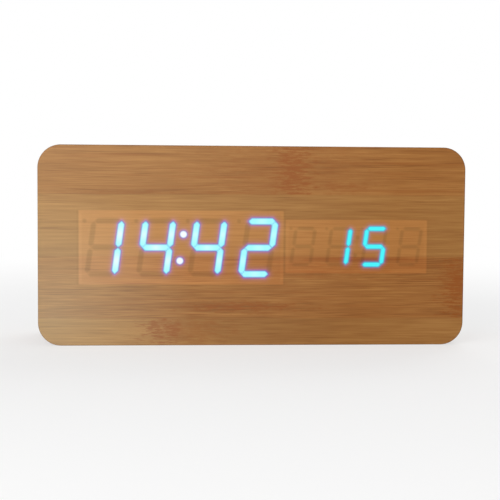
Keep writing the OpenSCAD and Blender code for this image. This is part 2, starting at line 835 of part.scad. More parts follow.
module thermistor() {
  at = on_rear(thermistor_at);
  color("#2a2a2a") {
    translate([at.x, board_rear_y + thermistor_leg_l, at.y])
      sphere(d = thermistor_d);
    for (x = [-1, 1])
      rod(at + [x * thermistor_leg_pitch / 2, 0], board_rear_y, thermistor_leg_l, thermistor_leg_d);
  }
}

// Flat cable that bows sideways between the two boards
module board_ribbon() {
  span_y = board_front_y - main_rear_y;
  at = on_rear([0, 0]);
  function bow(t) = [at.x + ribbon_bow * pow(sin(180 * t), 2), main_rear_y + span_y * t];
  function across(t) = unit([span_y, -ribbon_bow * PI * sin(360 * t)]) * ribbon_t / 2;
  color("#9aa0a8")
    translate([0, 0, at.y - ribbon_w / 2])
      linear_extrude(ribbon_w)
        polygon(concat(
          [for (k = [0:ribbon_steps]) bow(k / ribbon_steps) + across(k / ribbon_steps)],
          [for (k = [ribbon_steps:-1:0]) bow(k / ribbon_steps) - across(k / ribbon_steps)]));
}

// LED modules
module housing(d) {
  difference() {
    slab(module_front_y, housing_d)
      translate(centre(d))
        square([module_w(d), module_h(d)], center = true);
    for (lit = [true, false])
      wells(d, lit, module_front_y - over, housing_d + 2 * over);
  }
}

// The lit or the dark bars and dots of a display, from y by t
module wells(d, lit, y, t) {
  slab(y, t) {
    for (i = [0:digits - 1], s = [0:6])
      if (listed(lit_in(d, i), s) == lit)
        polygon(bar_points(d, i, s));
    if (!lit)
      for (i = [0:digits - 1])
        translate(dot_centre(d, i))
          circle(d = dot_share * bar_t(d));
    if (colon_lit(d) == lit)
      for (side = [-1, 1])
        translate(colon_centre(d, side))
          circle(d = colon_share * bar_t(d));
  }
}

// One LED under the middle of every bar and dot
module leds(d) {
  led_y = module_front_y + housing_d - led_h;
  led_size = [led_share.x * bar_t(d), led_h, led_share.y * bar_t(d)];
  for (i = [0:digits - 1]) {
    for (s = [0:6])
      block(leaning(d, i, bar_centre(d, s)), led_y, led_size);
    block(dot_centre(d, i), led_y, [dot_share * led_size.x, led_h, dot_share * led_size.z]);
  }
  for (side = [-1, 1])
    block(colon_centre(d, side), led_y, led_size);
}

module base(d) {
  difference() {
    slab(ring_front_y - base_board_t, base_board_t)
      translate(centre(d))
        square([module_w(d), module_h(d)], center = true);
    for (p = pin_places(d))
      rod(p, ring_front_y - base_board_t - over, base_board_t + 2 * over, pin_d);
  }
}

module pins(d) {
  for (p = pin_places(d))
    rod(p, ring_front_y - base_board_t, base_board_t + board_t + pin_stub, pin_d);
}

module display_part(d, part) {
  if (part == "housing")
    color("#e6e2da")
      housing(d);
  if (part == "lit_bars")
    color("#7ff0ff")
      wells(d, true, module_front_y, resin_depth);
  if (part == "dark_bars")
    color("#9a958c")
      wells(d, false, module_front_y, resin_depth);
  if (part == "leds")
    color("#f4f1c9")
      leds(d);
  if (part == "base")
    color("#23543b")
      base(d);
  if (part == "pins")
    color("#c9ccd0")
      pins(d);
}

// Main board and what stands on it
module main_board() {
  color("#2f7a50")
    difference() {
      block([0, display_z], ring_front_y, [main_board_w, board_t, main_board_h]);
      for (p = concat(pin_places(time_display), pin_places(temp_display)))
        rod(p, ring_front_y - over, board_t + 2 * over, pin_d);
      for (p = main_screw_places())
        rod(p, ring_front_y - over, board_t + 2 * over, board_screw_d);
    }
}

module main_board_screws() {
  color("#a3a6aa")
    for (p = main_screw_places())
      screw(p, main_rear_y, board_screw_d, board_screw_l + board_t, board_head_d, board_head_h);
}

module controller_chip() {
  color("#202124")
    block(on_main(controller_at), main_rear_y + chip_lift, controller_size);
}

module clock_chip() {
  color("#202124")
    block(on_main(clock_chip_at), main_rear_y + chip_lift, clock_chip_size);
}

module chip_leads() {
  color("#c9ccd0") {
    lead_rows(controller_at, controller_size);
    lead_rows(clock_chip_at, clock_chip_size);
  }
}

// Bent legs along both long sides of a chip
module lead_rows(at, size) {
  count = floor((size.x - lead_size.x) / lead_pitch) + 1;
  shoulder_h = chip_lift + size.y / 2;
  for (k = [0:count - 1], side = [-1, 1]) {
    x = at.x + (k - (count - 1) / 2) * lead_pitch;
    block(on_main([x, at.y + side * (size.z + lead_size.z) / 2]), main_rear_y, lead_size);
    block(on_main([x, at.y + side * (size.z + lead_size.y) / 2]), main_rear_y,
      [lead_size.x, shoulder_h, lead_size.y]);
  }
}

module crystal() {
  at = on_main(crystal_at);
  color("#c2c5c9")
    translate([at.x, main_rear_y + crystal_size.x / 2, at.y])
      rotate([0, 90, 0])
        cylinder(h = crystal_size.y, d = crystal_size.x, center = true);
}

module capacitors() {
  color("#35507a")
    for (side = [-1, 1])
      rod(on_main([capacitor_at.x, side * capacitor_at.y]), main_rear_y, capacitor_h, capacitor_d);
}

module resistors() {
  color("#1f1f22")
    for (k = [0:resistor_grid.x - 1], row = [0:resistor_grid.y - 1])
      block(on_main(resistor_at + [(k - (resistor_grid.x - 1) / 2) * resistor_pitch.x,
        (row - (resistor_grid.y - 1) / 2) * resistor_pitch.y]), main_rear_y, resistor_size);
}

module coin_cell() {
  color("#d5d8dc")
    rod(on_main(coin_at), main_rear_y + holder_floor, coin_t, coin_d);
}

module coin_cell_holder() {
  holder_d = coin_d + 2 * coin_clear + 2 * holder_wall;
  color("#2b2b2e")
    difference() {
      rod(on_main(coin_at), main_rear_y, holder_floor + coin_t, holder_d);
      rod(on_main(coin_at), main_rear_y + holder_floor, case_d, coin_d + 2 * coin_clear);
      block(on_main(coin_at + [0, holder_d / 2]), main_rear_y + holder_floor,
        [coin_d / 2, case_d, coin_d / 2]);
    }
}

module battery_connector() {
  color("#e9e6df")
    difference() {
      block(on_main(connector_at), main_rear_y, connector_size);
      for (side = [-1, 1])
        rod(on_main(connector_at + [0, side * connector_pitch / 2]),
          main_rear_y + connector_size.y - lead_hold, connector_size.y, lead_d);
    }
}

front_veneer();
side_veneer();
rear_veneer();
front_board();
case_ring();
rear_panel();
for (i = [1:4])
  rear_screw(i - 1);
battery_door();
for (i = [1:cell_count])
  aaa_cell(i - 1);
battery_contacts();
battery_springs();
battery_lead_red();
battery_lead_black();
for (i = [0:2]) {
  button(i);
  plunger(i);
  switch_body(i);
}
rear_board();
rear_board_screws();
dc_jack();
dc_jack_pin();
buzzer();
microphone();
thermistor();
board_ribbon();
main_board();
main_board_screws();
for (part = ["housing", "lit_bars", "dark_bars", "leds", "base", "pins"]) {
  display_part(time_display, part);
  display_part(temp_display, part);
}
controller_chip();
clock_chip();
chip_leads();
crystal();
capacitors();
resistors();
coin_cell();
coin_cell_holder();
battery_connector();
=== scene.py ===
import math
from functools import partial

import bmesh
import bpy
import numpy as np
from mathutils import Matrix, Vector
from mathutils.geometry import delaunay_2d_cdt


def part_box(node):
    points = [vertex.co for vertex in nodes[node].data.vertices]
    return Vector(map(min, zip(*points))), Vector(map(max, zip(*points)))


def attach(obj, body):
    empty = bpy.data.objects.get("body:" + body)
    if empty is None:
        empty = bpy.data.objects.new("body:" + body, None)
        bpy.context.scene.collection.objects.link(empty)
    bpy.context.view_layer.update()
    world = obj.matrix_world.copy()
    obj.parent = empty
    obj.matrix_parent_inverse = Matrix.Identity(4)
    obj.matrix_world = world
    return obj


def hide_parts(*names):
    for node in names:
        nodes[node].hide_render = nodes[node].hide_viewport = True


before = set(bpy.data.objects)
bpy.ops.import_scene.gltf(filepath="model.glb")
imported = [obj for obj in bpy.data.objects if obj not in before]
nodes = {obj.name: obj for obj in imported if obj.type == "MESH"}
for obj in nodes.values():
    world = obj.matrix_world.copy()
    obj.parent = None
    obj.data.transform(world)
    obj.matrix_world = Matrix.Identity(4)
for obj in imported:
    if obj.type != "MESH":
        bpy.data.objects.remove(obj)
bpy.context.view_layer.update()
mm = 0.001


# Helpers

# settings that many nodes share: a Mix node for colours, whose sockets are 0, 6 and 7, and a soft MapRange
colourMix = {"take": 2, "data_type": "RGBA"}
soft = {"interpolation_type": "SMOOTHSTEP"}


# an sRGB hex colour in the linear values that shaders use
def linear(hexColour):
    parts = [int(hexColour[i:i + 2], 16) / 255 for i in (1, 3, 5)]
    return [p / 12.92 if p <= 0.04045 else ((p + 0.055) / 1.055) ** 2.4 for p in parts] + [1.0]


# links an input that is given a socket, and sets one that is given a value
def feed(node, inputs):
    for key, value in inputs.items():
        if isinstance(value, bpy.types.NodeSocket):
            node.id_data.links.new(value, node.inputs[key])
        else:
            node.inputs[key].default_value = value


# adds a node with its settings and with inputs in order or by name, and hands back one of its outputs.
# A builder gets it as add, with its tree already given
def addNode(tree, kind, *inputs, take=0, **settings):
    families = ("GeometryNode", "FunctionNode", "ShaderNode", "Node")
    if tree.type == "SHADER":
        families = ("ShaderNode",)
    node = tree.nodes.new(next(family + kind for family in families if hasattr(bpy.types, family + kind)))
    for key, value in settings.items():
        setattr(node, key, value)
    for place, value in enumerate(inputs):
        feed(node, value if isinstance(value, dict) else {place: value})
    return node.outputs[take] if len(node.outputs) else node


def setStops(ramp, stops):
    elements = ramp.node.color_ramp.elements
    stops = list(stops)
    while len(elements) < len(stops):
        elements.new(1.0)
    for element, (place, colour) in zip(elements, stops):
        element.position = place
        element.color = colour


# empties a material's or the world's tree and hands back what adds nodes to it
def startTree(owner):
    owner.use_nodes = True
    owner.node_tree.nodes.clear()
    return partial(addNode, owner.node_tree)


def startMaterial(name):
    material = bpy.data.materials.new(name)
    add = startTree(material)
    shader = add("BsdfPrincipled").node
    add("OutputMaterial", {"Surface": shader.outputs[0]})
    return material, add, shader


# what most surfaces end in: colour, roughness, and a bump by strength and by height in mm
def coat(add, shader, colour, rough, height, strength, depth, **others):
    bump = add("Bump", {"Strength": strength, "Distance": depth * mm, "Height": height})
    feed(shader, {"Base Color": colour, "Roughness": rough, "Normal": bump, **others})


def boxInMm(name):
    return [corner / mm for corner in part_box(name)]


def middleOf(name):
    low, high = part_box(name)
    return (low + high) / 2


def meshFrom(form, name):
    mesh = bpy.data.meshes.new(name)
    form.to_mesh(mesh)
    form.free()
    return mesh


def newPiece(name, mesh, *materials):
    piece = bpy.data.objects.new(name, mesh)
    bpy.context.scene.collection.objects.link(piece)
    for material in materials:
        mesh.materials.append(material)
    return piece


# what the modifiers make becomes the piece's own plain mesh
def applied(piece):
    view = bpy.context.evaluated_depsgraph_get()
    mesh = bpy.data.meshes.new_from_object(piece.evaluated_get(view))
    piece.modifiers.clear()
    old, piece.data = piece.data, mesh
    bpy.data.meshes.remove(old)
    return piece


def smoothBelow(mesh, degrees):
    mesh.polygons.foreach_set("use_smooth", [True] * len(mesh.polygons))
    mesh.set_sharp_from_angle(angle=math.radians(degrees))


def finishPiece(piece, body, slot, *replaced):
    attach(piece, body)
    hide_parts(*replaced)
    print(piece.name + ":", len(piece.data.polygons), "faces")


# a piece with a node tree on it, not applied yet; build gets add and the inputs, and hands back the form
def madeByNodes(name, build, sizes):
    tree = bpy.data.node_groups.new(name, "GeometryNodeTree")
    for side in ("OUTPUT", "INPUT"):
        tree.interface.new_socket(name="Geometry", in_out=side, socket_type="NodeSocketGeometry")
    kinds = {float: "NodeSocketFloat", int: "NodeSocketInt", bpy.types.Material: "NodeSocketMaterial",
             bpy.types.Object: "NodeSocketObject"}
    for key, value in sizes.items():
        tree.interface.new_socket(name=key, in_out="INPUT", socket_type=kinds[type(value)])
    add = partial(addNode, tree)
    add("GroupOutput", build(add, add("GroupInput").node.outputs))
    piece = newPiece(name, bpy.data.meshes.new(name))
    made = piece.modifiers.new("made", "NODES")
    made.node_group = tree
    for item in tree.interface.items_tree:
        if item.in_out == "INPUT" and item.name in sizes:
            made[item.identifier] = sizes[item.name]
    return piece


# the end of a tree: real geometry with its material
def realized(add, form, material, smooth=False):
    form = add("RealizeInstances", form)
    if smooth:
        form = add("SetShadeSmooth", form)
    return add("SetMaterial", {"Geometry": form, "Material": material})


# Camera, in mm and degrees

cameraLook = {"place": (-33.352, -456.057, 63.834), "yaw": -4.2126, "pitch": -3.9534, "roll": -0.4215,
              "lens": 90.0, "sensor": 36.0, "nearest": 10.0}


def makeCamera(look):
    data = bpy.data.cameras.new("photoCamera")
    data.sensor_width = look["sensor"]
    data.lens = look["lens"]
    data.clip_start = look["nearest"] * mm
    camera = bpy.data.objects.new("photoCamera", data)
    bpy.context.scene.collection.objects.link(camera)
    place = Matrix.Translation(Vector(look["place"]) * mm)
    for part, axis in (("yaw", "Z"), ("pitch", "X"), ("roll", "Y")):
        place = place @ Matrix.Rotation(math.radians(look[part]), 4, axis)
    camera.matrix_world = place @ Matrix.Rotation(math.radians(90), 4, "X")      # looks along +Y, not down
    bpy.context.scene.camera = camera


# Studio, in metres and watts. The floor lies a hair under the clock, off its lowest faces

studioLook = {
    "worldLight": 0.42,
    "lamps": {
        "keySoftbox": {"place": (-0.36, -0.56, 0.22), "size": 0.45, "watts": 2.7},
        "fillSoftbox": {"place": (0.75, -0.75, 0.75), "size": 0.8, "watts": 0.7},
        "rearSoftbox": {"place": (0.35, 0.85, 0.75), "size": 0.8, "watts": 5.0},
    },
    "aim": (0.0, 0.0, 0.035),
    "floorSize": 12.0, "floorZ": -0.00002, "floorColour": "#f2f2f2", "floorRough": 0.9,
    "floorFade": (0.12, 0.42), "floorWhite": 0.6,
}


# 1 where the camera sees a surface, straight on or in metal or glass
def seenByCamera(add):
    rays = add("LightPath").node.outputs
    seen = rays["Is Camera Ray"]
    for kind in ("Is Glossy Ray", "Is Transmission Ray"):
        seen = add("Math", seen, rays[kind], operation="MAXIMUM")
    return seen


def makeStudio(look):
    world = bpy.data.worlds.new("studio")
    bpy.context.scene.world = world
    add = startTree(world)
    strength = add("MapRange", seenByCamera(add), 0.0, 1.0, look["worldLight"])
    sky = add("Background", {"Color": (1, 1, 1, 1), "Strength": strength})
    add("OutputWorld", {"Surface": sky})
    for name, lamp in look["lamps"].items():
        data = bpy.data.lights.new(name, "AREA")
        data.shape = "SQUARE"
        data.size = lamp["size"]
        data.energy = lamp["watts"]
        light = bpy.data.objects.new(name, data)
        bpy.context.scene.collection.objects.link(light)
        light.location = lamp["place"]
        aim = Vector(look["aim"]) - Vector(lamp["place"])
        light.rotation_euler = aim.to_track_quat("-Z", "Y").to_euler()
    half, z = look["floorSize"] / 2, look["floorZ"]
    mesh = bpy.data.meshes.new("floor")
    mesh.from_pydata([(-half, -half, z), (half, -half, z), (half, half, z), (-half, half, z)], [],
                     [(0, 1, 2, 3)])
    # the camera sees the floor go over to the white backdrop, and the object's shadow near it
    material, add, shader = startMaterial("paintedFloor")
    feed(shader, {"Base Color": linear(look["floorColour"]), "Roughness": look["floorRough"]})
    here = add("TexCoord", take="Object")
    away = add("VectorMath", here, take="Value", operation="LENGTH")
    fade = add("MapRange", away, *look["floorFade"], look["floorWhite"], **soft)
    share = add("Math", seenByCamera(add), fade, operation="MULTIPLY")
    white = add("Emission", {"Color": (1, 1, 1, 1), "Strength": 1.0})
    both = add("MixShader", share, shader.outputs[0], white)
    feed(material.node_tree.nodes["Material Output"], {"Surface": both})
    floor = newPiece("floor", mesh, material)


makeCamera(cameraLook)
makeStudio(studioLook)
bpy.context.scene.view_settings.view_transform = "Standard"
print("camera and studio ready")


# Bamboo: sliced, edge-glued strips under a satin lacquer. The eye sees long fine fibres, a faint line where
# two strips meet, and here and there the ragged reddish patch of a cane's joint

bambooLook = {
    "pale": "#b27f45", "middle": "#9d6a35", "dark": "#855224", "knot": "#8f4b17", "spread": 0.45,
    "stripWidth": 21.7, "seamAt": 9.6, "seamWidth": 0.5, "seamDepth": 0.06, "stripShift": 0.10,
    # every other strip is redder and more streaked, and those between are paler and calmer
    "redTint": (0.955, 0.90, 0.85, 1.0), "oliveTint": (1.04, 1.105, 1.15, 1.0), "oliveContrast": 0.75,
    # length and height of the streaks in mm, and their share of the tone; the finest are drawn at about
    # 0.35 mm, twice the real fibre, so that they show
    "layers": [(110.0, 6.0, 0.26), (50.0, 1.7, 0.36), (24.0, 0.7, 0.44), (12.0, 0.35, 0.38)],
    # other streaks in the same way, with the noise from which they start and at which they are full
    "fibre": (16.0, 0.4), "fibreFrom": (0.55, 0.75), "fibreDepth": 0.18,
    "redStreak": (36.0, 1.2), "redFrom": (0.5, 0.7), "redDepth": 0.30,
    "knotStreak": (4.2, 0.7), "knotFrom": (0.28, 0.72), "knotThinning": 0.75, "knotEdge": (0.05, 0.5),
    "stainReach": 1.6, "calmEdge": 0.3,
    "roughness": (0.52, 0.40), "specular": 0.18, "bump": 0.03, "bumpHeight": 0.2,
}


# how far a point is from the middle of an oval, 1 at its edge: along, across, half length and half height
def ovalDistance(add, along, across, oval):
    x, z, halfLength, halfHeight = oval
    a = add("MapRange", along, x, x + halfLength, clamp=False)
    c = add("MapRange", across, z, z + halfHeight, clamp=False)
    offset = add("CombineXYZ", a, c)
    return add("VectorMath", offset, take="Value", operation="LENGTH")


# along and across are sockets in mm, and contrast may be one. A patch is (strip, along, across, half length,
# half height, strength), and a stain is (along, across, half length, half height, depth)
def bambooGrain(add, along, across, patches, stains, contrast, look):
    strips = add("Math", across, look["seamAt"], operation="SUBTRACT")
    strips = add("Math", strips, look["stripWidth"], operation="DIVIDE")
    strip = add("Math", strips, operation="FLOOR")
    odd = add("Math", strip, 1.0, operation="PINGPONG")

    def streaks(length, height, **settings):
        a = add("Math", along, length, operation="DIVIDE")
        c = add("Math", across, height, operation="DIVIDE")
        place = add("CombineXYZ", a, c, strip)
        return add("TexNoise", {"Vector": place, "Scale": 1.0, **settings})

    edge = add("Math", strips, 0.5, operation="PINGPONG")
    seam = add("MapRange", edge, 0.0, look["seamWidth"] / look["stripWidth"], -look["seamDepth"], 0.0, **soft)
    chance = add("TexWhiteNoise", {"W": strip}, noise_dimensions="1D")
    half = look["stripShift"] / 2
    shift = add("MapRange", chance, 0.0, 1.0, -half, half)
    tone = add("Math", seam, shift, operation="ADD")
    share = 0.0
    for length, height, weight in look["layers"]:
        streak = streaks(length, height, Detail=2.0, Roughness=0.6)
        tone = add("Math", streak, weight, tone, operation="MULTIPLY_ADD")
        share += weight
    tone = add("Math", tone, (1 - share) / 2, operation="ADD")
    # short dark bundles of fibre among the streaks
    bundle = streaks(*look["fibre"], Detail=1.0)
    bundle = add("MapRange", bundle, *look["fibreFrom"], 0.0, -look["fibreDepth"], **soft)
    tone = add("Math", tone, bundle, operation="ADD")
    ownContrast = add("MapRange", odd, 0.0, 1.0, 1.0, look["oliveContrast"])
    contrast = add("Math", ownContrast, contrast, operation="MULTIPLY")
    apart = add("Math", tone, 0.5, operation="SUBTRACT")
    tone = add("Math", apart, contrast, 0.5, operation="MULTIPLY_ADD")
    for *oval, depth in stains:
        far = ovalDistance(add, along, across, oval)
        stain = add("MapRange", far, 0.0, look["stainReach"], -depth, 0.0, interpolation_type="SMOOTHERSTEP")
        tone = add("Math", tone, stain, operation="ADD")
    colour = add("ValToRGB", tone)
    setStops(colour, [(0.5 - look["spread"] / 2, linear(look["dark"])), (0.5, linear(look["middle"])),
                      (0.5 + look["spread"] / 2, linear(look["pale"]))])
    tint = add("Mix", {0: odd, 6: look["redTint"], 7: look["oliveTint"]}, **colourMix)
    colour = add("Mix", {0: 1.0, 6: colour, 7: tint}, **colourMix, blend_type="MULTIPLY")
    # redder streaks in the redder strips
    even = add("Math", 1.0, odd, operation="SUBTRACT")
    redness = streaks(*look["redStreak"], Detail=3.0)
    redness = add("MapRange", redness, *look["redFrom"], 0.0, look["redDepth"], **soft)
    mask = add("Math", redness, even, operation="MULTIPLY")
    knot = linear(look["knot"])
    colour = add("Mix", {0: mask, 6: colour, 7: knot}, **colourMix)
    # a cane's joint is a crowd of short reddish streaks, thinning out along the strip
    ragged = streaks(*look["knotStreak"], Detail=4.0, Roughness=0.7)
    ragged = add("MapRange", ragged, *look["knotFrom"], clamp=False)
    for patchStrip, *oval, strength in patches:
        far = ovalDistance(add, along, across, oval)
        thin = add("Math", far, -look["knotThinning"], ragged, operation="MULTIPLY_ADD")
        near = add("MapRange", thin, *look["knotEdge"], 0.0, strength, **soft)
        here = add("Math", strip, float(patchStrip), 0.1, operation="COMPARE")
        mask = add("Math", near, here, operation="MULTIPLY")
        colour = add("Mix", {0: mask, 6: colour, 7: knot}, **colourMix)
    return colour, tone


# Grain along X and up Z of the piece, or along a wrapped sheet by its UV map in metres. calm is the contrast
# of the streaks where a module shines through
def bamboo(name, patches, stains, wrapped=False, calm=None, look=bambooLook):
    material, add, shader = startMaterial(name)
    contrast = 1.0
    if calm:
        within = add("Attribute", take="Fac", attribute_name="windows")
        contrast = add("MapRange", within, -look["calmEdge"], look["calmEdge"], calm)
    if wrapped:
        here = add("UVMap", uv_map="grain")
    else:
        here = add("TexCoord", take="Object")
    inMm = add("VectorMath", here, (1 / mm, 1 / mm, 1 / mm), operation="MULTIPLY")
    axes = add("SeparateXYZ", inMm).node.outputs
    colour, tone = bambooGrain(add, axes[0], axes[1 if wrapped else 2], patches, stains, contrast, look)
    rough = add("MapRange", tone, 0.0, 1.0, *look["roughness"])
    coat(add, shader, colour, rough, tone, look["bump"], look["bumpHeight"],
         **{"Specular IOR Level": look["specular"]})
    return material, add, shader, colour


# The displays behind the front veneer, in mm as the modules are built

displayLook = {
    "slant": 7.7, "barGap": 0.3, "dotShare": 0.8, "colonShare": 1.15,
    "dimming": 0.9,      # each digit to the right is a little bluer
    "farthest": 20.0, "dotEdge": 0.6, "dotCore": -2.0,
    "modules": {
        "time": {"digit": (11.5, 20.5), "bar": 1.95, "dotReach": 3.3, "colon": True,
                 "lit": [[1, 2], [1, 2, 5, 6], [1, 2, 5, 6], [0, 1, 3, 4, 6]]},
        "temp": {"digit": (8.1, 14.0), "bar": 1.35, "dotReach": 1.8, "colon": False,
                 "lit": [[], [1, 2], [0, 2, 3, 5, 6], []]},
    },
}
for name, module in displayLook["modules"].items():      # each module's place and size are its housing's
    low, high = boxInMm(name + "_housing")
    module["x"], module["z"] = (low.x + high.x) / 2, (low.z + high.z) / 2
    module["size"] = (high.x - low.x, high.z - low.z)
    module["pitch"] = module["size"][0] / len(module["lit"])
    module["span"] = [side - module["bar"] for side in module["digit"]]
# each bar's place in a digit, from the top one clockwise, the middle one last
barPlaces = [(0, 2), (1, 1), (1, -1), (0, -2), (-1, -1), (-1, 1), (0, 0)]


def leaning(module, digit, x, z):
    digitX = module["x"] + (digit - (len(module["lit"]) - 1) / 2) * module["pitch"]
    return digitX + x + z * math.tan(math.radians(displayLook["slant"])), module["z"] + z


# a bar's corners and its middle
def barShape(module, digit, bar):
    t = module["bar"] / 2
    spanW, spanH = module["span"]
    px, pz = barPlaces[bar]
    upright = px != 0
    half = (spanH / 4 if upright else spanW / 2) - displayLook["barGap"] / 2
    outline = [(-half, 0), (t - half, t), (half - t, t), (half, 0), (half - t, -t), (t - half, -t)]
    cx, cz = px * spanW / 2, pz * spanH / 4
    corners = [leaning(module, digit, cx + (z if upright else x), cz + (x if upright else z))
               for x, z in outline]
    return np.array(corners), np.array(leaning(module, digit, cx, cz))


# signed distance in mm from points to a closed outline, less than zero inside
def outlineDistance(points, corners):
    best = np.full(len(points), np.inf)
    inside = np.zeros(len(points), bool)
    for a, b in zip(corners, np.roll(corners, -1, 0)):
        side, rel = b - a, points - a
        t = np.clip(rel @ side / (side @ side), 0, 1)
        best = np.minimum(best, np.linalg.norm(rel - t[:, None] * side, axis=1))
        if a[1] != b[1]:
            crossX = a[0] + (points[:, 1] - a[1]) * side[0] / side[1]
            inside ^= ((a[1] > points[:, 1]) != (b[1] > points[:, 1])) & (points[:, 0] < crossX)
    return np.where(inside, -best, best)


# how far each point of the face is from the lit and dark bars, the modules' outlines and the bars' middles
def displayFields(points, look):
    names = ("litTime", "litTemp", "unlit", "windows", "core")
    fields = {name: np.full(len(points), look["farthest"]) for name in names}

    def away(spot):
        return np.linalg.norm(points - np.array(spot), axis=1)

    def nearer(name, distance):
        fields[name] = np.minimum(fields[name], distance)

    for name, module in look["modules"].items():
        w, h = (side / 2 for side in module["size"])
        x, z = module["x"], module["z"]
        corners = np.array([(x - w, z - h), (x + w, z - h), (x + w, z + h), (x - w, z + h)])
        nearer("windows", outlineDistance(points, corners))
        litField = "lit" + name.capitalize()
        spanW, spanH = module["span"]
        for digit, lit in enumerate(module["lit"]):
            for bar in range(len(barPlaces)):
                corners, middle = barShape(module, digit, bar)
                nearer(litField if bar in lit else "unlit", outlineDistance(points, corners))
                if bar in lit:
                    nearer("core", away(middle) + look["dimming"] * digit)
            dot = leaning(module, digit, -spanW / 2 - module["dotReach"], spanH / 2)
            nearer("unlit", away(dot) - module["bar"] * look["dotShare"] / 2)
        for side in (-1, 1):
            dot = leaning(module, 1, module["pitch"] / 2, side * spanH / 4)
            distance = away(dot) - module["bar"] * look["colonShare"] / 2
            nearer(litField if module["colon"] else "unlit", distance)
            if module["colon"]:
                fields["core"] = np.where(distance < look["dotEdge"], look["dotCore"], fields["core"])
    return fields


# Front veneer: one sheet with eased edges, meshed finely where the digits shine through

frontVeneer = {
    "cornerRadius": 8.0, "cornerSteps": 14, "edge": 0.4, "edgeSteps": 5, "rimShare": 0.3,
    "fineStep": 0.5, "fineMargin": 2.0, "coarseStep": 3.0, "clearShare": 0.6, "weld": 1e-6,
    "patches": [(2, 13.5, 61.0, 12.5, 30.0, 0.82), (0, 72.5, 21.0, 12.0, 26.0, 0.76),
                (-1, -32.0, 5.5, 12.0, 9.0, 0.88), (0, -5.0, 13.6, 46.0, 3.6, 0.72),
                (0, 20.0, 26.0, 60.0, 6.0, 0.25), (2, 32.0, 56.0, 20.0, 3.0, 0.34),
                (2, -45.0, 53.6, 42.0, 1.6, 0.36), (0, 40.0, 30.6, 40.0, 1.4, 0.30),
                (2, 10.0, 61.0, 56.0, 30.0, 0.27), (-1, -24.0, 5.5, 32.0, 12.0, 0.42)],
    "stains": [(-3.0, 13.6, 36.0, 2.0, 0.10), (-46.0, 54.0, 36.0, 1.0, 0.12), (8.0, 4.0, 34.0, 7.0, 0.08),
               (45.0, 29.0, 40.0, 3.0, 0.08), (30.0, 30.4, 46.0, 0.9, 0.12), (30.0, 60.0, 45.0, 6.0, 0.06),
               (-50.0, 6.0, 20.0, 5.0, -0.08), (-40.0, 44.0, 40.0, 8.0, -0.05)],
    "windowContrast": 0.6, "rimTint": (0.74, 0.71, 0.66, 1.0),
    # a painted reflection: the sheen of a soft light on the lacquer, added to the colour towards the left
    # end, and most round a spot in the lower corner there
    "paintedSheen": "#494a3c", "paintedSheenReach": (-80.0, 45.0), "paintedSheenLean": -0.3, "paintedSheenHeight": 34.6,
    "paintedSheenSpotColour": "#465750", "spot": (-70.0, 10.0, 50.0, 46.0),
    # the pale modules and their grey bars show through the thin sheet, and the paler, pinker windows are also
    # painted light, the glow of the LEDs inside the housings: from and to in mm, and the tint
    "shownThroughAndGlow": {"windows": (-0.3, 0.2, (1.24, 1.15, 1.12, 1.0)),
              "unlit": (-0.5, 0.35, (0.81, 0.84, 0.84, 1.0))},
    # a dark gap round each module and a paler lip inside it: middle and half width in mm, and the tint
    "bands": [(0.35, 0.45, (0.965, 0.96, 0.955, 1.0)), (-0.7, 0.8, (1.05, 1.06, 1.07, 1.0))], "bandCore": 0.1,
    # light at a distance in mm from a lit bar's edge, less than zero inside it
    "glowReach": (-1.0, 4.0), "litEdge": (-0.1, 0.65),
    "timeGlow": [(-1.0, "#fbffff"), (-0.28, "#f6feff"), (0.0, "#d0def9"), (0.18, "#7c8bc4"), (0.4, "#2817a4"),
                 (0.7, "#0c0070"), (1.0, "#08004c"), (1.4, "#040030"), (2.0, "#020016"), (2.8, "#000000")],
    "tempGlow": [(-1.0, "#40f9fd"), (-0.25, "#48f4fc"), (-0.05, "#4cdfee"), (0.12, "#24a2c8"),
                 (0.5, "#003a74"), (1.0, "#000036"), (2.0, "#000000")],
    # a bar is whitest over its light-emitting chip, and a dot is white all over
    "coreReach": (-2.0, 5.0),
    "coreTint": [(-2.0, (1.0, 1.0, 1.0, 1.0)), (-0.5, (0.92, 1.0, 1.0, 1.0)), (1.0, (0.76, 1.0, 1.0, 1.0)),
                 (3.0, (0.53, 1.0, 1.0, 1.0)), (5.0, (0.40, 0.97, 1.0, 1.0))],
}


# the face's outline in mm, moved in by inset
def roundedOutline(inset, look):
    low, high = boxInMm("front_veneer")
    w, h = (high.x - low.x) / 2 - inset, (high.z - low.z) / 2 - inset
    r = look["cornerRadius"] - inset
    points = []
    for sx, sz, start, half in ((1, 1, 0, w), (-1, 1, 90, h), (-1, -1, 180, w), (1, -1, 270, h)):
        for k in range(look["cornerSteps"] + 1):
            angle = math.radians(start + 90 * k / look["cornerSteps"])
            points.append(Vector((sx * (w - r) + r * math.cos(angle), sz * (h - r) + r * math.sin(angle))))
        along = Vector((-math.sin(angle), math.cos(angle)))
        run = 2 * (half - r)
        pieces = max(1, round(run / look["coarseStep"]))
        last = points[-1]
        points.extend(last + along * run * k / pieces for k in range(1, pieces))
    return [(p.x, p.y + (low.z + high.z) / 2) for p in points]


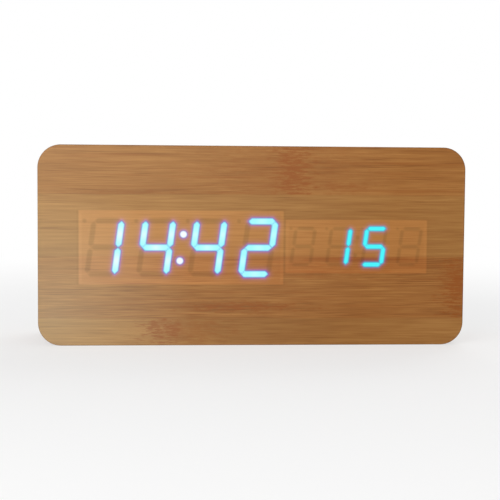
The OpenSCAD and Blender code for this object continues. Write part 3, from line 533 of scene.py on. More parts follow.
def frontVeneerMesh(look):
    low, high = boxInMm("front_veneer")
    inner = roundedOutline(look["edge"], look)
    count = len(inner)
    # points: the outline, a fine grid over both modules and a coarse one round that
    time, temp = (displayLook["modules"][name] for name in ("time", "temp"))
    margin = look["fineMargin"]
    leftX, rightX = time["x"] - time["size"][0] / 2 - margin, temp["x"] + temp["size"][0] / 2 + margin
    lowZ, highZ = time["z"] - time["size"][1] / 2 - margin, time["z"] + time["size"][1] / 2 + margin
    fine = [(x, z) for x in np.arange(leftX, rightX, look["fineStep"])
            for z in np.arange(lowZ, highZ, look["fineStep"])]
    clear = look["coarseStep"] * look["clearShare"]
    coarse = np.array([(x, z) for x in np.arange(low.x + clear, high.x, look["coarseStep"])
                       for z in np.arange(low.z + clear, high.z, look["coarseStep"])])
    outside = ((coarse[:, 0] < leftX - clear) | (coarse[:, 0] > rightX + clear)
               | (coarse[:, 1] < lowZ - clear) | (coarse[:, 1] > highZ + clear))
    coarse = coarse[outside & (outlineDistance(coarse, np.array(inner)) < -clear)]
    flat = [Vector(p) for p in inner + fine + coarse.tolist()]
    parts = delaunay_2d_cdt(flat, [], [list(range(count))], 1, look["weld"])
    verts, faces, given = parts[0], parts[2], parts[3]      # given says which points a vertex came from
    form = bmesh.new()
    front = [form.verts.new((v.x * mm, low.y * mm, v.y * mm)) for v in verts]
    for face in faces:
        form.faces.new([front[i] for i in face])
    # the eased edge, then the sheet's own thickness, then its back
    made = {source: front[i] for i, sources in enumerate(given) for source in sources}
    loop = [made[i] for i in range(count)]
    turns = [math.radians(90 * k / look["edgeSteps"]) for k in range(1, look["edgeSteps"] + 1)]
    levels = [(look["edge"] * (1 - math.sin(t)), low.y + look["edge"] * (1 - math.cos(t))) for t in turns]
    for inset, y in levels + [(0.0, high.y)]:
        nextLoop = [form.verts.new((x * mm, y * mm, z * mm)) for x, z in roundedOutline(inset, look)]
        for i in range(count):
            j = (i + 1) % count
            form.faces.new([loop[i], loop[j], nextLoop[j], nextLoop[i]]).smooth = True
        loop = nextLoop
    form.faces.new(loop)
    bmesh.ops.recalc_face_normals(form, faces=form.faces)
    mesh = meshFrom(form, "frontVeneer")
    points = np.array([v.co for v in mesh.vertices]) / mm
    fields = displayFields(points[:, [0, 2]], displayLook)
    # 0 on the face, 1 past the eased edge's first part
    fields["rim"] = np.minimum(1.0, (points[:, 1] - low.y) / (look["edge"] * look["rimShare"]))
    for name, values in fields.items():
        layer = mesh.attributes.new(name, "FLOAT", "POINT")
        layer.data.foreach_set("value", values.astype(np.float32))
    return mesh


def frontVeneerMaterial(look):
    material, add, shader, colour = bamboo("lacqueredBambooFront", look["patches"], look["stains"],
                                           calm=look["windowContrast"])
    fields = {name: add("Attribute", take="Fac", attribute_name=name)
              for name in ("litTime", "litTemp", "unlit", "windows", "core", "rim")}
    # painted reflection: a soft light's sheen added to the colour, rising towards the left end and round a
    # spot in the lower corner
    here = add("TexCoord", take="Object")
    axes = add("SeparateXYZ", here).node.outputs
    height = add("Math", axes[2], look["paintedSheenHeight"] * mm, operation="SUBTRACT")
    slope = add("Math", height, look["paintedSheenLean"], axes[0], operation="MULTIPLY_ADD")
    mask = add("MapRange", slope, *[place * mm for place in look["paintedSheenReach"]], 1.0, 0.0)
    colour = add("Mix", {0: mask, 6: colour, 7: linear(look["paintedSheen"])}, **colourMix, blend_type="ADD")
    far = ovalDistance(add, axes[0], axes[2], [size * mm for size in look["spot"]])
    mask = add("MapRange", far, 0.0, 1.0, 1.0, 0.0)
    colour = add("Mix", {0: mask, 6: colour, 7: linear(look["paintedSheenSpotColour"])}, **colourMix, blend_type="ADD")
    tints = []
    # the windows' paler tint is partly painted light, the LEDs' glow inside; the darker bars are the grey
    # bars showing through
    for field, (start, end, tint) in look["shownThroughAndGlow"].items():
        tints.append((fields[field], start, end, tint))
    for middle, half, tint in look["bands"]:
        off = add("Math", fields["windows"], middle, operation="SUBTRACT")
        off = add("Math", off, operation="ABSOLUTE")
        tints.append((off, look["bandCore"], half, tint))
    for distance, start, end, tint in tints:
        mask = add("MapRange", distance, start, end, 1.0, 0.0, **soft)
        colour = add("Mix", {0: mask, 6: colour, 7: tint}, **colourMix, blend_type="MULTIPLY")
    colour = add("Mix", {0: fields["rim"], 6: colour, 7: look["rimTint"]}, **colourMix, blend_type="MULTIPLY")

    # a colour by the distance in mm that a field gives
    def byDistance(field, reach, stops):
        start, end = reach
        place = add("MapRange", fields[field], start, end)
        light = add("ValToRGB", place)
        setStops(light, [((distance - start) / (end - start), stop) for distance, stop in stops])
        return light

    glows = []
    for field, stops in (("litTime", "timeGlow"), ("litTemp", "tempGlow")):
        lights = [(distance, linear(stop)) for distance, stop in look[stops]]
        glows.append(byDistance(field, look["glowReach"], lights))
    white = byDistance("core", look["coreReach"], look["coreTint"])
    glow = add("Mix", {0: 1.0, 6: glows[0], 7: white}, **colourMix, blend_type="MULTIPLY")
    glow = add("Mix", {0: 1.0, 6: glow, 7: glows[1]}, **colourMix, blend_type="ADD")
    # a lit bar outshines what the sheet reflects
    lit = add("Math", fields["litTime"], fields["litTemp"], operation="MINIMUM")
    mask = add("MapRange", lit, *look["litEdge"], 1.0, 0.0, **soft)
    colour = add("Mix", {0: mask, 6: colour, 7: (0, 0, 0, 1)}, **colourMix)
    feed(shader, {"Base Color": colour, "Emission Color": glow, "Emission Strength": 1.0})
    return material


frontPiece = newPiece("frontVeneer", frontVeneerMesh(frontVeneer), frontVeneerMaterial(frontVeneer))
finishPiece(frontPiece, "case", "bamboo_veneer", "front_veneer")


# Side veneer: a flat sheet wrapped round the four sides, its ends meeting under the clock

sideVeneer = {"corner": 8.0, "cornerSteps": 12, "thickness": 0.6, "columns": 427, "rows": 9, "weld": 0.01,
              "sharp": 30,
              "patches": [(-1, 118.0, 4.0, 7.0, 14.0, 0.5), (0, 262.0, 20.0, 7.0, 20.0, 0.5),
                          (0, 60.0, 20.0, 6.0, 20.0, 0.4), (1, 371.0, 36.0, 7.0, 16.0, 0.5)],
              "stains": [(140.0, 8.0, 60.0, 3.0, 0.10), (300.0, -9.0, 50.0, 4.0, 0.10)]}


def wrappedSheet(add, given):
    bends = add("CurvePrimitiveQuadrilateral", {"Width": given["Width"], "Height": given["Height"]})
    bends = add("FilletCurve", {"Curve": bends, "Count": given["Corner Steps"], "Radius": given["Corner"]},
                mode="POLY")
    length = add("CurveLength", bends)
    sheet = add("MeshGrid", length, given["Depth"], given["Columns"], given["Rows"]).node
    onSheet = add("SeparateXYZ", sheet.outputs["UV Map"]).node.outputs
    begin = add("Math", onSheet[0], given["Start"], operation="ADD")
    begin = add("Math", begin, operation="FRACT")
    place = add("SampleCurve", {"Curves": bends, "Factor": begin}, take="Position", mode="FACTOR")
    onBend = add("SeparateXYZ", place).node.outputs
    flat = add("SeparateXYZ", add("InputPosition")).node.outputs
    lift = add("Math", given["Height"], 0.5, onBend[1], operation="MULTIPLY_ADD")
    wrapped = add("CombineXYZ", onBend[0], flat[1], lift)
    size = add("CombineXYZ", length, given["Depth"])
    grain = add("VectorMath", sheet.outputs["UV Map"], size, operation="MULTIPLY")
    form = add("StoreNamedAttribute", {"Geometry": sheet.outputs["Mesh"], "Name": "grain", "Value": grain},
               data_type="FLOAT2", domain="CORNER")
    form = add("SetPosition", {"Geometry": form, "Position": wrapped})
    form = add("MergeByDistance", {"Geometry": form, "Distance": given["Weld"]})
    form = add("FlipFaces", form)
    return realized(add, form, given["Material"])


low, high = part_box("side_veneer")
corner = sideVeneer["corner"] * mm
sideBamboo = bamboo("lacqueredBambooSides", sideVeneer["patches"], sideVeneer["stains"], wrapped=True)[0]
sideSizes = {"Width": high.x - low.x, "Height": high.z - low.z, "Depth": high.y - low.y, "Corner": corner,
             "Corner Steps": sideVeneer["cornerSteps"], "Columns": sideVeneer["columns"],
             "Rows": sideVeneer["rows"], "Weld": sideVeneer["weld"] * mm, "Material": sideBamboo}
arc = math.pi / 2 * corner
flatW, flatH = (sideSizes[key] - 2 * corner for key in ("Width", "Height"))
sideSizes["Start"] = (3 * arc + 1.5 * flatW + flatH) / (4 * arc + 2 * flatW + 2 * flatH)
sidePiece = madeByNodes("sideVeneer", wrappedSheet, sideSizes)
wall = sidePiece.modifiers.new("thickness", "SOLIDIFY")
wall.thickness = sideVeneer["thickness"] * mm
wall.offset = -1.0
applied(sidePiece)
smoothBelow(sidePiece.data, sideVeneer["sharp"])
finishPiece(sidePiece, "case", "bamboo_veneer", "side_veneer")


# Rear veneer: the CAD frame with the same bamboo on it

rearVeneer = {"patches": [(0, -72.0, 20.0, 6.0, 20.0, 0.5), (2, -20.0, 62.0, 6.0, 20.0, 0.5),
                          (-1, 34.0, 4.0, 7.0, 14.0, 0.5)]}
finishes = {"lacqueredBambooRear": bamboo("lacqueredBambooRear", rearVeneer["patches"], [])[0]}


# Plastics: injection-moulded, and what the eye sees is the mould's own finish: a spark-eroded back is matt
# with a fine even grain, a button is smoother, and a nylon or acetal part is waxy and a little cloudy.
# In a row: colour, colour in the hollows (painted shade in the grain's hollows, mixed with a random cloudy
# tone), the grain's spacing and height in mm, least and most roughness.
# A grain is drawn at 0.25 mm or more so that it shows: a spark-eroded one is really about 0.2 mm, not 0.9 mm

plasticLook = {
    "sparkErodedAbs": ("#232325", "#101012", 0.90, 0.24, 0.38, 0.62),
    "satinButtonAbs": ("#262628", "#1d1d20", 0.30, 0.012, 0.32, 0.44),
    "padPrintedInk": ("#cfcfca", "#b7b7b2", 0.25, 0.006, 0.42, 0.52),
    "naturalAcetal": ("#e4dccb", "#d3c8b2", 0.60, 0.01, 0.34, 0.46),
    "switchNylon": ("#2b2b2e", "#202022", 0.40, 0.008, 0.42, 0.58),
    "pvcSleeveRed": ("#b3261f", "#961a15", 0.90, 0.01, 0.34, 0.44),
    "pvcSleeveBlack": ("#1c1c1d", "#121213", 0.90, 0.01, 0.34, 0.44),
    "pvcRibbonGrey": ("#9a9da2", "#84878c", 0.90, 0.01, 0.40, 0.50),
    "mouldedAbsGrey": ("#d9d5cc", "#c6c1b6", 0.45, 0.015, 0.45, 0.60),
    "darkDiffuserEpoxy": ("#8d8678", "#77705f", 0.50, 0.01, 0.28, 0.40),
    "clearLedEpoxy": ("#e5dc9c", "#cfc37a", 0.35, 0.008, 0.12, 0.22),
    "mouldedChipEpoxy": ("#1a1a1c", "#101012", 0.30, 0.025, 0.50, 0.64),
    "dippedThermistorEpoxy": ("#1d1c1b", "#120f0d", 0.70, 0.015, 0.18, 0.30),
    "fibreWasher": ("#2a2a2c", "#101012", 0.30, 0.025, 0.50, 0.64),
    "ivoryNylon": ("#ece6d8", "#d8cfbb", 0.50, 0.01, 0.36, 0.50),
    "shrinkSleeveBlue": ("#22345c", "#182746", 0.80, 0.01, 0.22, 0.34),
}
mouldLook = {"cloud": 11.0, "toneFrom": (0.38, 0.62), "roughFrom": (0.35, 0.65), "ior": 1.53}


def mouldedPlastic(name, row, look):
    colour, shade, grain, depth, least, most = row
    material, add, shader = startMaterial(name)
    here = add("TexCoord", take="Object")
    fine = add("TexNoise", {"Vector": here, "Scale": 1 / (grain * mm), "Detail": 2.0})
    cloud = add("TexNoise", {"Vector": here, "Scale": 1 / (look["cloud"] * mm), "Detail": 3.0})
    mix = add("Math", cloud, 0.5, operation="MULTIPLY")
    mix = add("Math", fine, 0.5, mix, operation="MULTIPLY_ADD")
    # painted shade: darker where the fine grain is low, in its hollows, mixed with a random cloudy tone
    tone = add("ValToRGB", mix)
    setStops(tone, zip(look["toneFrom"], (linear(shade), linear(colour))))
    rough = add("MapRange", mix, *look["roughFrom"], least, most)
    coat(add, shader, tone, rough, fine, 1.0, depth, IOR=look["ior"])
    return material


# Metals: plated or drawn, so the eye sees a tint, fine lines the way the strip was drawn, and dull patches.
# In a row: colour, colour where it is dull, the lines' spacing in mm each way, least and most roughness
metalLook = {
    "zincPlatedSteel": ("#bfc3c8", "#a9acb0", (0.5, 0.5, 0.5), 0.26, 0.44),
    "nickelPlatedSpringSteel": ("#d3d2cd", "#bdbbb4", (0.5, 6.0, 0.5), 0.18, 0.34),
    "tinPlatedCan": ("#d2d4d6", "#bcbec1", (0.6, 4.0, 0.6), 0.20, 0.34),
    "machinedBrass": ("#d1a956", "#b98f42", (0.4, 0.4, 0.4), 0.20, 0.32),
}
drawnLook = {"dull": 4.0, "roughFrom": (0.3, 0.7), "bump": 0.08, "bumpHeight": 0.03}


def drawnMetal(name, row, look):
    colour, shade, spacing, least, most = row
    material, add, shader = startMaterial(name)
    here = add("TexCoord", take="Object")
    lines = add("VectorMath", here, [1 / (size * mm) for size in spacing], operation="MULTIPLY")
    fine = add("TexNoise", {"Vector": lines, "Scale": 1.0, "Detail": 3.0})
    dull = add("TexNoise", {"Vector": here, "Scale": 1 / (look["dull"] * mm), "Detail": 2.0})
    tone = add("Mix", {0: dull, 6: linear(shade), 7: linear(colour)}, **colourMix)
    rough = add("MapRange", fine, *look["roughFrom"], least, most)
    coat(add, shader, tone, rough, fine, look["bump"], look["bumpHeight"], Metallic=1.0)
    return material


finishes.update({name: mouldedPlastic(name, row, mouldLook) for name, row in plasticLook.items()})
finishes.update({name: drawnMetal(name, row, drawnLook) for name, row in metalLook.items()})


# Fibreboard: pressed wood fibre, sawn and sanded, so the eye sees a dull brown felt of pale and dark hairs
fibreLook = {"pale": "#b08a5c", "dark": "#7d5a35", "toneFrom": (0.5, 0.8), "hair": 0.5, "curl": 1.5,
             "patch": 6.0, "patchShare": 0.3, "rough": 0.88, "bump": 0.35, "bumpHeight": 0.1}


def pressedFibreboard(name, look):
    material, add, shader = startMaterial(name)
    here = add("TexCoord", take="Object")
    hair = add("TexNoise", {"Vector": here, "Scale": 1 / (look["hair"] * mm), "Detail": 4.0,
                            "Distortion": look["curl"]})
    patch = add("TexNoise", {"Vector": here, "Scale": 1 / (look["patch"] * mm), "Detail": 2.0})
    tone = add("Math", patch, look["patchShare"], hair, operation="MULTIPLY_ADD")
    colour = add("ValToRGB", tone)
    setStops(colour, zip(look["toneFrom"], (linear(look["dark"]), linear(look["pale"]))))
    coat(add, shader, colour, look["rough"], hair, look["bump"], look["bumpHeight"])
    return material


finishes["pressedFibreboard"] = pressedFibreboard("pressedFibreboard", fibreLook)


# Circuit laminate: glass cloth under a green lacquer, so the eye sees the lacquer's gloss, paler copper
# tracks below it and a faint weave. Tracks are 0.6 mm on a 2 mm grid, in runs cut off by a coarse noise
laminateLook = {"lacquer": "#1c5a3a", "track": "#2f7a4c", "grid": 2.0, "trackWidth": 0.6, "run": 9.0,
                "cutAt": 0.52, "weave": 0.7, "weaveBend": 0.6, "weaveShare": 0.15, "rough": (0.26, 0.36),
                "bump": 0.3, "bumpHeight": 0.04}


def lacqueredLaminate(name, look):
    material, add, shader = startMaterial(name)
    here = add("TexCoord", take="Object")
    inMm = add("VectorMath", here, (1 / mm, 1 / mm, 1 / mm), operation="MULTIPLY")
    axes = add("SeparateXYZ", inMm).node.outputs
    tracks = 0.0
    for across, along in ((axes[0], axes[2]), (axes[2], axes[0])):
        line = add("Math", across, look["grid"] / 2, operation="PINGPONG")
        line = add("Math", line, look["trackWidth"] / 2, operation="LESS_THAN")
        lane = add("Math", across, look["grid"], operation="SNAP")
        run = add("Math", along, look["run"], operation="DIVIDE")
        place = add("CombineXYZ", lane, run)
        cut = add("TexNoise", {"Vector": place, "Scale": 1.0, "Detail": 0.0})
        cut = add("Math", cut, look["cutAt"], operation="GREATER_THAN")
        line = add("Math", line, cut, operation="MULTIPLY")
        tracks = add("Math", line, tracks, operation="MAXIMUM")
    weave = add("TexWave", {"Vector": inMm, "Scale": 1 / look["weave"], "Distortion": look["weaveBend"]})
    height = add("Math", weave, look["weaveShare"], tracks, operation="MULTIPLY_ADD")
    colour = add("Mix", {0: tracks, 6: linear(look["lacquer"]), 7: linear(look["track"])}, **colourMix)
    rough = add("MapRange", weave, 0.0, 1.0, *look["rough"])
    coat(add, shader, colour, rough, height, look["bump"], look["bumpHeight"])
    return material


finishes["lacqueredGlassLaminate"] = lacqueredLaminate("lacqueredGlassLaminate", laminateLook)


# Lit bars: milky epoxy lit from below, so the eye sees a bright pale blue, a little uneven
litLook = {"colours": {"timeLitEpoxy": ("#bff7ff", "#e6fdff"), "tempLitEpoxy": ("#2ff2ff", "#6bf8ff")},
           "cloud": 1.6, "cloudFrom": (0.35, 0.65), "rough": (0.25, 0.4), "strength": 0.8}


def litEpoxy(name, look):
    material, add, shader = startMaterial(name)
    here = add("TexCoord", take="Object")
    uneven = add("TexNoise", {"Vector": here, "Scale": 1 / (look["cloud"] * mm), "Detail": 2.0})
    colour = add("ValToRGB", uneven)
    setStops(colour, zip(look["cloudFrom"], map(linear, look["colours"][name])))
    rough = add("MapRange", uneven, 0.0, 1.0, *look["rough"])
    feed(shader, {"Base Color": colour, "Emission Color": colour, "Emission Strength": look["strength"],
                  "Roughness": rough})
    return material


finishes.update({name: litEpoxy(name, litLook) for name in litLook["colours"]})

# what each CAD node that stays is made of
nodeFinish = {
    "lacqueredBambooRear": ["rear_veneer"],
    "pressedFibreboard": ["front_board", "case_ring"],
    "naturalAcetal": ["set_plunger", "up_plunger", "down_plunger"],
    "switchNylon": ["set_switch", "up_switch", "down_switch"],
    "sparkErodedAbs": ["buzzer", "coin_cell_holder"],
    "zincPlatedSteel": ["rear_board_screws", "main_board_screws"],
    "nickelPlatedSpringSteel": ["battery_contacts", "time_pins", "temp_pins", "chip_leads"],
    "tinPlatedCan": ["microphone", "crystal", "coin_cell"],
    "machinedBrass": ["dc_jack_pin"],
    "lacqueredGlassLaminate": ["rear_board", "main_board", "time_base", "temp_base"],
    "mouldedAbsGrey": ["time_housing", "temp_housing"],
    "timeLitEpoxy": ["time_lit_bars"],
    "tempLitEpoxy": ["temp_lit_bars"],
    "darkDiffuserEpoxy": ["time_dark_bars", "temp_dark_bars"],
    "clearLedEpoxy": ["time_leds", "temp_leds"],
    "mouldedChipEpoxy": ["controller_chip", "clock_chip", "resistors"],
    "shrinkSleeveBlue": ["capacitors"],
    "ivoryNylon": ["battery_connector"],
}
for finish, names in nodeFinish.items():
    for name in names:
        nodes[name].data.materials.clear()
        nodes[name].data.materials.append(finishes[finish])
print("finishes:", len(finishes), "materials")


# Moulded pieces: the CAD form with the small radius that a mould leaves on every edge, less on a low wall.
# In a row: node, body, slot, finish and radius in mm, and the ink on what is raised

easedPieces = {
    "rearPanel": ("rear_panel", "case", "black_plastic", "sparkErodedAbs", 0.15, None),
    "batteryDoor": ("battery_door", "battery_door", "black_plastic", "sparkErodedAbs", 0.15, None),
    "setButton": ("set_button", "set_button", "button_plastic", "satinButtonAbs", 0.25, "padPrintedInk"),
    "upButton": ("up_button", "up_button", "button_plastic", "satinButtonAbs", 0.25, "padPrintedInk"),
    "downButton": ("down_button", "down_button", "button_plastic", "satinButtonAbs", 0.25, "padPrintedInk"),
    "powerSocket": ("dc_jack", "case", "black_plastic", "switchNylon", 0.12, None),
    "thermistorBead": ("thermistor", "case", "thermistor_resin", "dippedThermistorEpoxy", 0.05, None),
}
# in degrees: faces within flat become one, edges past sharp get the radius, and those below round shade round
easing = {"weld": 0.002, "flat": 0.5, "sharp": 40, "round": 50, "steps": 2, "roomShare": 3, "inkDepth": 0.02,
          "inkFacing": 0.9}


# how far the faces at an edge reach away from it
def roomBeside(edge):
    start = edge.verts[0].co
    along = (edge.verts[1].co - start).normalized()
    return min(max((v.co - start).cross(along).length for v in face.verts) for face in edge.link_faces)


def easedCopy(name, node, finish, radius, ink, look):
    form = bmesh.new()
    form.from_mesh(nodes[node].data)
    bmesh.ops.remove_doubles(form, verts=form.verts, dist=look["weld"] * mm)
    bmesh.ops.dissolve_limit(form, angle_limit=math.radians(look["flat"]), verts=form.verts, edges=form.edges)
    weight = form.edges.layers.float.new("bevel_weight_edge")
    for edge in form.edges:
        if edge.calc_face_angle(0.0) > math.radians(look["sharp"]):
            edge[weight] = min(1.0, roomBeside(edge) / look["roomShare"] / (radius * mm))
    mesh = meshFrom(form, name)
    for layer in list(mesh.uv_layers):
        mesh.uv_layers.remove(layer)
    piece = newPiece(name, mesh, finishes[finish])
    bevel = piece.modifiers.new("mouldRadius", "BEVEL")
    bevel.width = radius * mm
    bevel.segments = look["steps"]
    bevel.limit_method = "WEIGHT"
    applied(piece)
    smoothBelow(piece.data, look["round"])
    flat = piece.modifiers.new("flatFaces", "WEIGHTED_NORMAL")      # radii shade round, faces stay flat
    flat.keep_sharp = True
    applied(piece)
    if ink:      # dabbed on the top of the raised mark
        piece.data.materials.append(finishes[ink])
        top = max(v.co.y for v in piece.data.vertices) - look["inkDepth"] * mm
        for face in piece.data.polygons:
            face.material_index = int(face.normal.y > look["inkFacing"] and face.center.y > top)
    return piece


for name, (node, body, slot, finish, radius, ink) in easedPieces.items():
    finishPiece(easedCopy(name, node, finish, radius, ink, easing), body, slot, node)


# Turned pieces: rings of points round Z from (radius, height) in mm, with a strip of material for each step
def turned(profile, steps, strips=None):
    form = bmesh.new()
    wrap = form.loops.layers.uv.new("wrap")
    stripOf = form.faces.layers.int.new("strip")
    rings = []
    for r, z in profile:
        turns = [2 * math.pi * i / steps for i in range(steps if r else 1)]
        rings.append([form.verts.new((r * mm * math.cos(t), r * mm * math.sin(t), z * mm)) for t in turns])
    for k in range(len(rings) - 1):
        for i in range(steps):
            corners = {}      # each point's place on the unrolled sheet; at a pole two corners are one point
            for level, place in ((k, i), (k, i + 1), (k + 1, i + 1), (k + 1, i)):
                vert = rings[level][place % len(rings[level])]
                corners.setdefault(vert, (profile[level][1] * mm, place / steps))
            face = form.faces.new(list(corners))
            face.smooth = True
            face[stripOf] = strips[k] if strips else 0
            for loop, spot in zip(face.loops, corners.values()):
                loop[wrap].uv = spot
    bmesh.ops.recalc_face_normals(form, faces=form.faces)
    return form


# Back screws: pan heads with a cross recess, each left at its own turn by the driver

rearScrews = {"headWidth": 5.0, "headHeight": 1.8, "rimRise": 0.2, "rimEase": 0.15, "rimShare": 0.45,
              "crown": (0.35, 0.7, 1.05, 1.35), "crownPower": 0.7, "length": 12.8, "shankWidth": 2.6,
              "pitch": 0.9, "point": 0.25, "threadFrom": 0.5, "tipLength": 2.6, "tipShare": 0.25,
              "rootShare": 0.74, "neckShare": 0.8, "neckLength": 1.2, "crossLength": 3.0, "crossWidth": 0.7,
              "crossDepth": 1.0, "crossTaper": (0.62, 1.15), "crossOver": 0.5, "sides": 40, "sharp": 35,
              "seed": 5}


def screwTemplate(look):
    r, rise, shank = look["headWidth"] / 2, look["headHeight"], look["shankWidth"] / 2
    under = look["length"] - rise
    profile = [(0.0, 0.0), (look["point"], look["point"])]
    z = look["threadFrom"]
    while z < under - look["neckLength"]:      # a thread of rings, smaller towards the point
        core = shank * min(1.0, look["tipShare"] + (1 - look["tipShare"]) * z / look["tipLength"])
        profile += [(core * look["rootShare"], z), (core, z + look["pitch"] / 2)]
        z += look["pitch"]
    neck, rim = shank * look["neckShare"], look["rimShare"]
    profile += [(neck, z), (neck, under), (r - look["rimEase"], under), (r, under + look["rimRise"])]
    profile += [(r, under + rise * rim)]
    profile += [(r * math.cos(t) ** look["crownPower"], under + rise * (rim + (1 - rim) * math.sin(t)))
                for t in look["crown"]]
    profile += [(0.0, under + rise)]
    screw = newPiece("screwTemplate", meshFrom(turned(profile, look["sides"]), "screwTemplate"))
    # the driver's cross, narrower at its bottom
    a, b = look["crossLength"] / 2, look["crossWidth"] / 2
    plus = [(a, -b), (a, b), (b, b), (b, a), (-b, a), (-b, b),
            (-a, b), (-a, -b), (-b, -b), (-b, -a), (b, -a), (b, -b)]
    form = bmesh.new()
    levels = (look["length"] - look["crossDepth"], look["length"] + look["crossOver"])
    lower, upper = ([form.verts.new((x * share * mm, y * share * mm, z * mm)) for x, y in plus]
                    for z, share in zip(levels, look["crossTaper"]))
    for i in range(len(plus)):
        j = (i + 1) % len(plus)
        form.faces.new([lower[i], lower[j], upper[j], upper[i]])
    form.faces.new(lower)
    form.faces.new(upper)
    bmesh.ops.recalc_face_normals(form, faces=form.faces)
    cutter = newPiece("crossCutter", meshFrom(form, "crossCutter"))
    cut = screw.modifiers.new("recess", "BOOLEAN")
    cut.object = cutter
    cut.solver = "EXACT"
    applied(screw)
    bpy.data.objects.remove(cutter)
    smoothBelow(screw.data, look["sharp"])
    return screw


def screwsInCorners(add, given):
    corners = add("MeshGrid", given["Across"], given["Up"], 2, 2)
    flat = add("SeparateXYZ", add("InputPosition")).node.outputs
    height = add("Math", flat[1], given["Centre Height"], operation="ADD")
    upright = add("CombineXYZ", flat[0], given["Tip"], height)
    corners = add("SetPosition", {"Geometry": corners, "Position": upright})
    turn = add("RandomValue", {"Max": math.pi / 2, "Seed": given["Seed"]}, take=1, data_type="FLOAT")
    spin = add("EulerToRotation", add("CombineXYZ", {2: turn}))
    facing = add("EulerToRotation", (-math.pi / 2, 0, 0))
    both = add("RotateRotation", {"Rotation": facing, "Rotate By": spin}, rotation_space="LOCAL")
    screw = add("ObjectInfo", {"Object": given["Screw"]}, take="Geometry")
    form = add("InstanceOnPoints", {"Points": corners, "Instance": screw, "Rotation": both})
    return realized(add, form, given["Material"])


screwNodes = ["rear_screw_%d" % i for i in (1, 2, 3, 4)]
middles = [middleOf(name) for name in screwNodes]
template = screwTemplate(rearScrews)
screwSizes = {"Across": max(m.x for m in middles) - min(m.x for m in middles),
              "Up": max(m.z for m in middles) - min(m.z for m in middles),
              "Centre Height": sum(m.z for m in middles) / 4, "Tip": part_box("rear_screw_1")[0].y,
              "Seed": rearScrews["seed"], "Screw": template, "Material": finishes["zincPlatedSteel"]}
screwPiece = applied(madeByNodes("rearScrews", screwsInCorners, screwSizes))
bpy.data.objects.remove(template)
finishPiece(screwPiece, "case", "zinc_steel", *screwNodes)


# Battery springs: cones of round wire, wide at the contact plate and narrow at the cell

batterySprings = {"baseRadius": 3.2, "tipRadius": 2.2, "wire": 0.6, "length": 4.6, "curls": 3.25,
                  "curlSteps": 36, "wireSides": 10, "cellPitch": 11.0}


def springsOnPlates(add, given):
    coil = add("CurveSpiral", {"Resolution": given["Curl Steps"], "Rotations": given["Curls"],
                               "Start Radius": given["Base Radius"], "End Radius": given["Tip Radius"],
                               "Height": given["Rise"]})
    wire = add("CurvePrimitiveCircle", {"Resolution": given["Wire Sides"], "Radius": given["Wire Radius"]})
    coil = add("CurveToMesh", {"Curve": coil, "Profile Curve": wire, "Fill Caps": True})
    coil = add("Transform", {"Geometry": coil, "Rotation": (0, math.pi / 2, 0)})
    double = add("Math", given["Cell Pitch"], -2.0, operation="MULTIPLY")
    step = add("CombineXYZ", {2: double})
    both = add("JoinGeometry").node
    for side, turn in (("Left", 0.0), ("Right", math.pi)):
        start = add("CombineXYZ", given[side + " Plate"], given["Depth"], given[side + " Height"])
        line = add("MeshLine", {"Count": 2, "Start Location": start, "Offset": step}, mode="OFFSET")
        coils = add("InstanceOnPoints", {"Points": line, "Instance": coil, "Rotation": (0, 0, turn)})
        feed(both, {0: coils})
    return realized(add, both.outputs[0], given["Material"], smooth=True)


low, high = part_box("battery_springs")
cellTop = middleOf("aaa_cell_1").z
half = batterySprings["wire"] / 2 * mm
cellPitch = batterySprings["cellPitch"] * mm
springSizes = {"Base Radius": batterySprings["baseRadius"] * mm,
               "Tip Radius": batterySprings["tipRadius"] * mm, "Wire Radius": half,
               "Rise": batterySprings["length"] * mm - 2 * half, "Curls": batterySprings["curls"],
               "Curl Steps": batterySprings["curlSteps"], "Wire Sides": batterySprings["wireSides"],
               "Cell Pitch": cellPitch, "Depth": (low.y + high.y) / 2, "Left Plate": low.x + half,
               "Right Plate": high.x - half, "Left Height": cellTop, "Right Height": cellTop - cellPitch,
               "Material": finishes["nickelPlatedSpringSteel"]}
springPiece = applied(madeByNodes("batterySprings", springsOnPlates, springSizes))
finishPiece(springPiece, "case", "nickel_steel", "battery_springs")


# Ribbon between the boards: eight round cores in one sleeve with thin webs, bowed as the CAD one is

boardRibbon = {"cores": 8, "web": 0.4, "arcSteps": 8, "bow": 4.0, "points": 40, "sharp": 40}


def ribbonSection(look, r):
    reach = math.acos(look["web"] / 2 * mm / r)
    last = look["cores"] - 1
    side = []      # up one side, and down the other as its mirror image
    for core in range(look["cores"]):
        start, end = -math.pi / 2 if core == 0 else -reach, math.pi / 2 if core == last else reach
        for k in range(look["arcSteps"] + 1):
            turn = start + (end - start) * k / look["arcSteps"]
            side.append((r * math.cos(turn), r * (2 * core - last + math.sin(turn)), 0.0))
    return side + [(-x, y, z) for x, y, z in side[-2:0:-1]]


# the piece's own mesh is the section
def bowedRibbon(add, given):
    line = add("MeshLine", {"Count": given["Points"]}, mode="OFFSET")
    last = add("Math", given["Points"], 1.0, operation="SUBTRACT")
    t = add("Math", add("InputIndex"), last, operation="DIVIDE")
    wave = add("Math", t, math.pi, operation="MULTIPLY")
    wave = add("Math", wave, operation="SINE")
    wave = add("Math", wave, wave, operation="MULTIPLY")
    x = add("Math", wave, given["Bow"], given["Start X"], operation="MULTIPLY_ADD")
    y = add("MapRange", t, 0.0, 1.0, given["Start Y"], given["End Y"])
    place = add("CombineXYZ", x, y, given["Height"])
    line = add("SetPosition", {"Geometry": line, "Position": place})
    line = add("MeshToCurve", line)
    line = add("SetCurveNormal", line, mode="Z_UP")
    section = add("MeshToCurve", given["Geometry"])
    form = add("CurveToMesh", {"Curve": line, "Profile Curve": section, "Fill Caps": True})
    return realized(add, form, given["Material"])


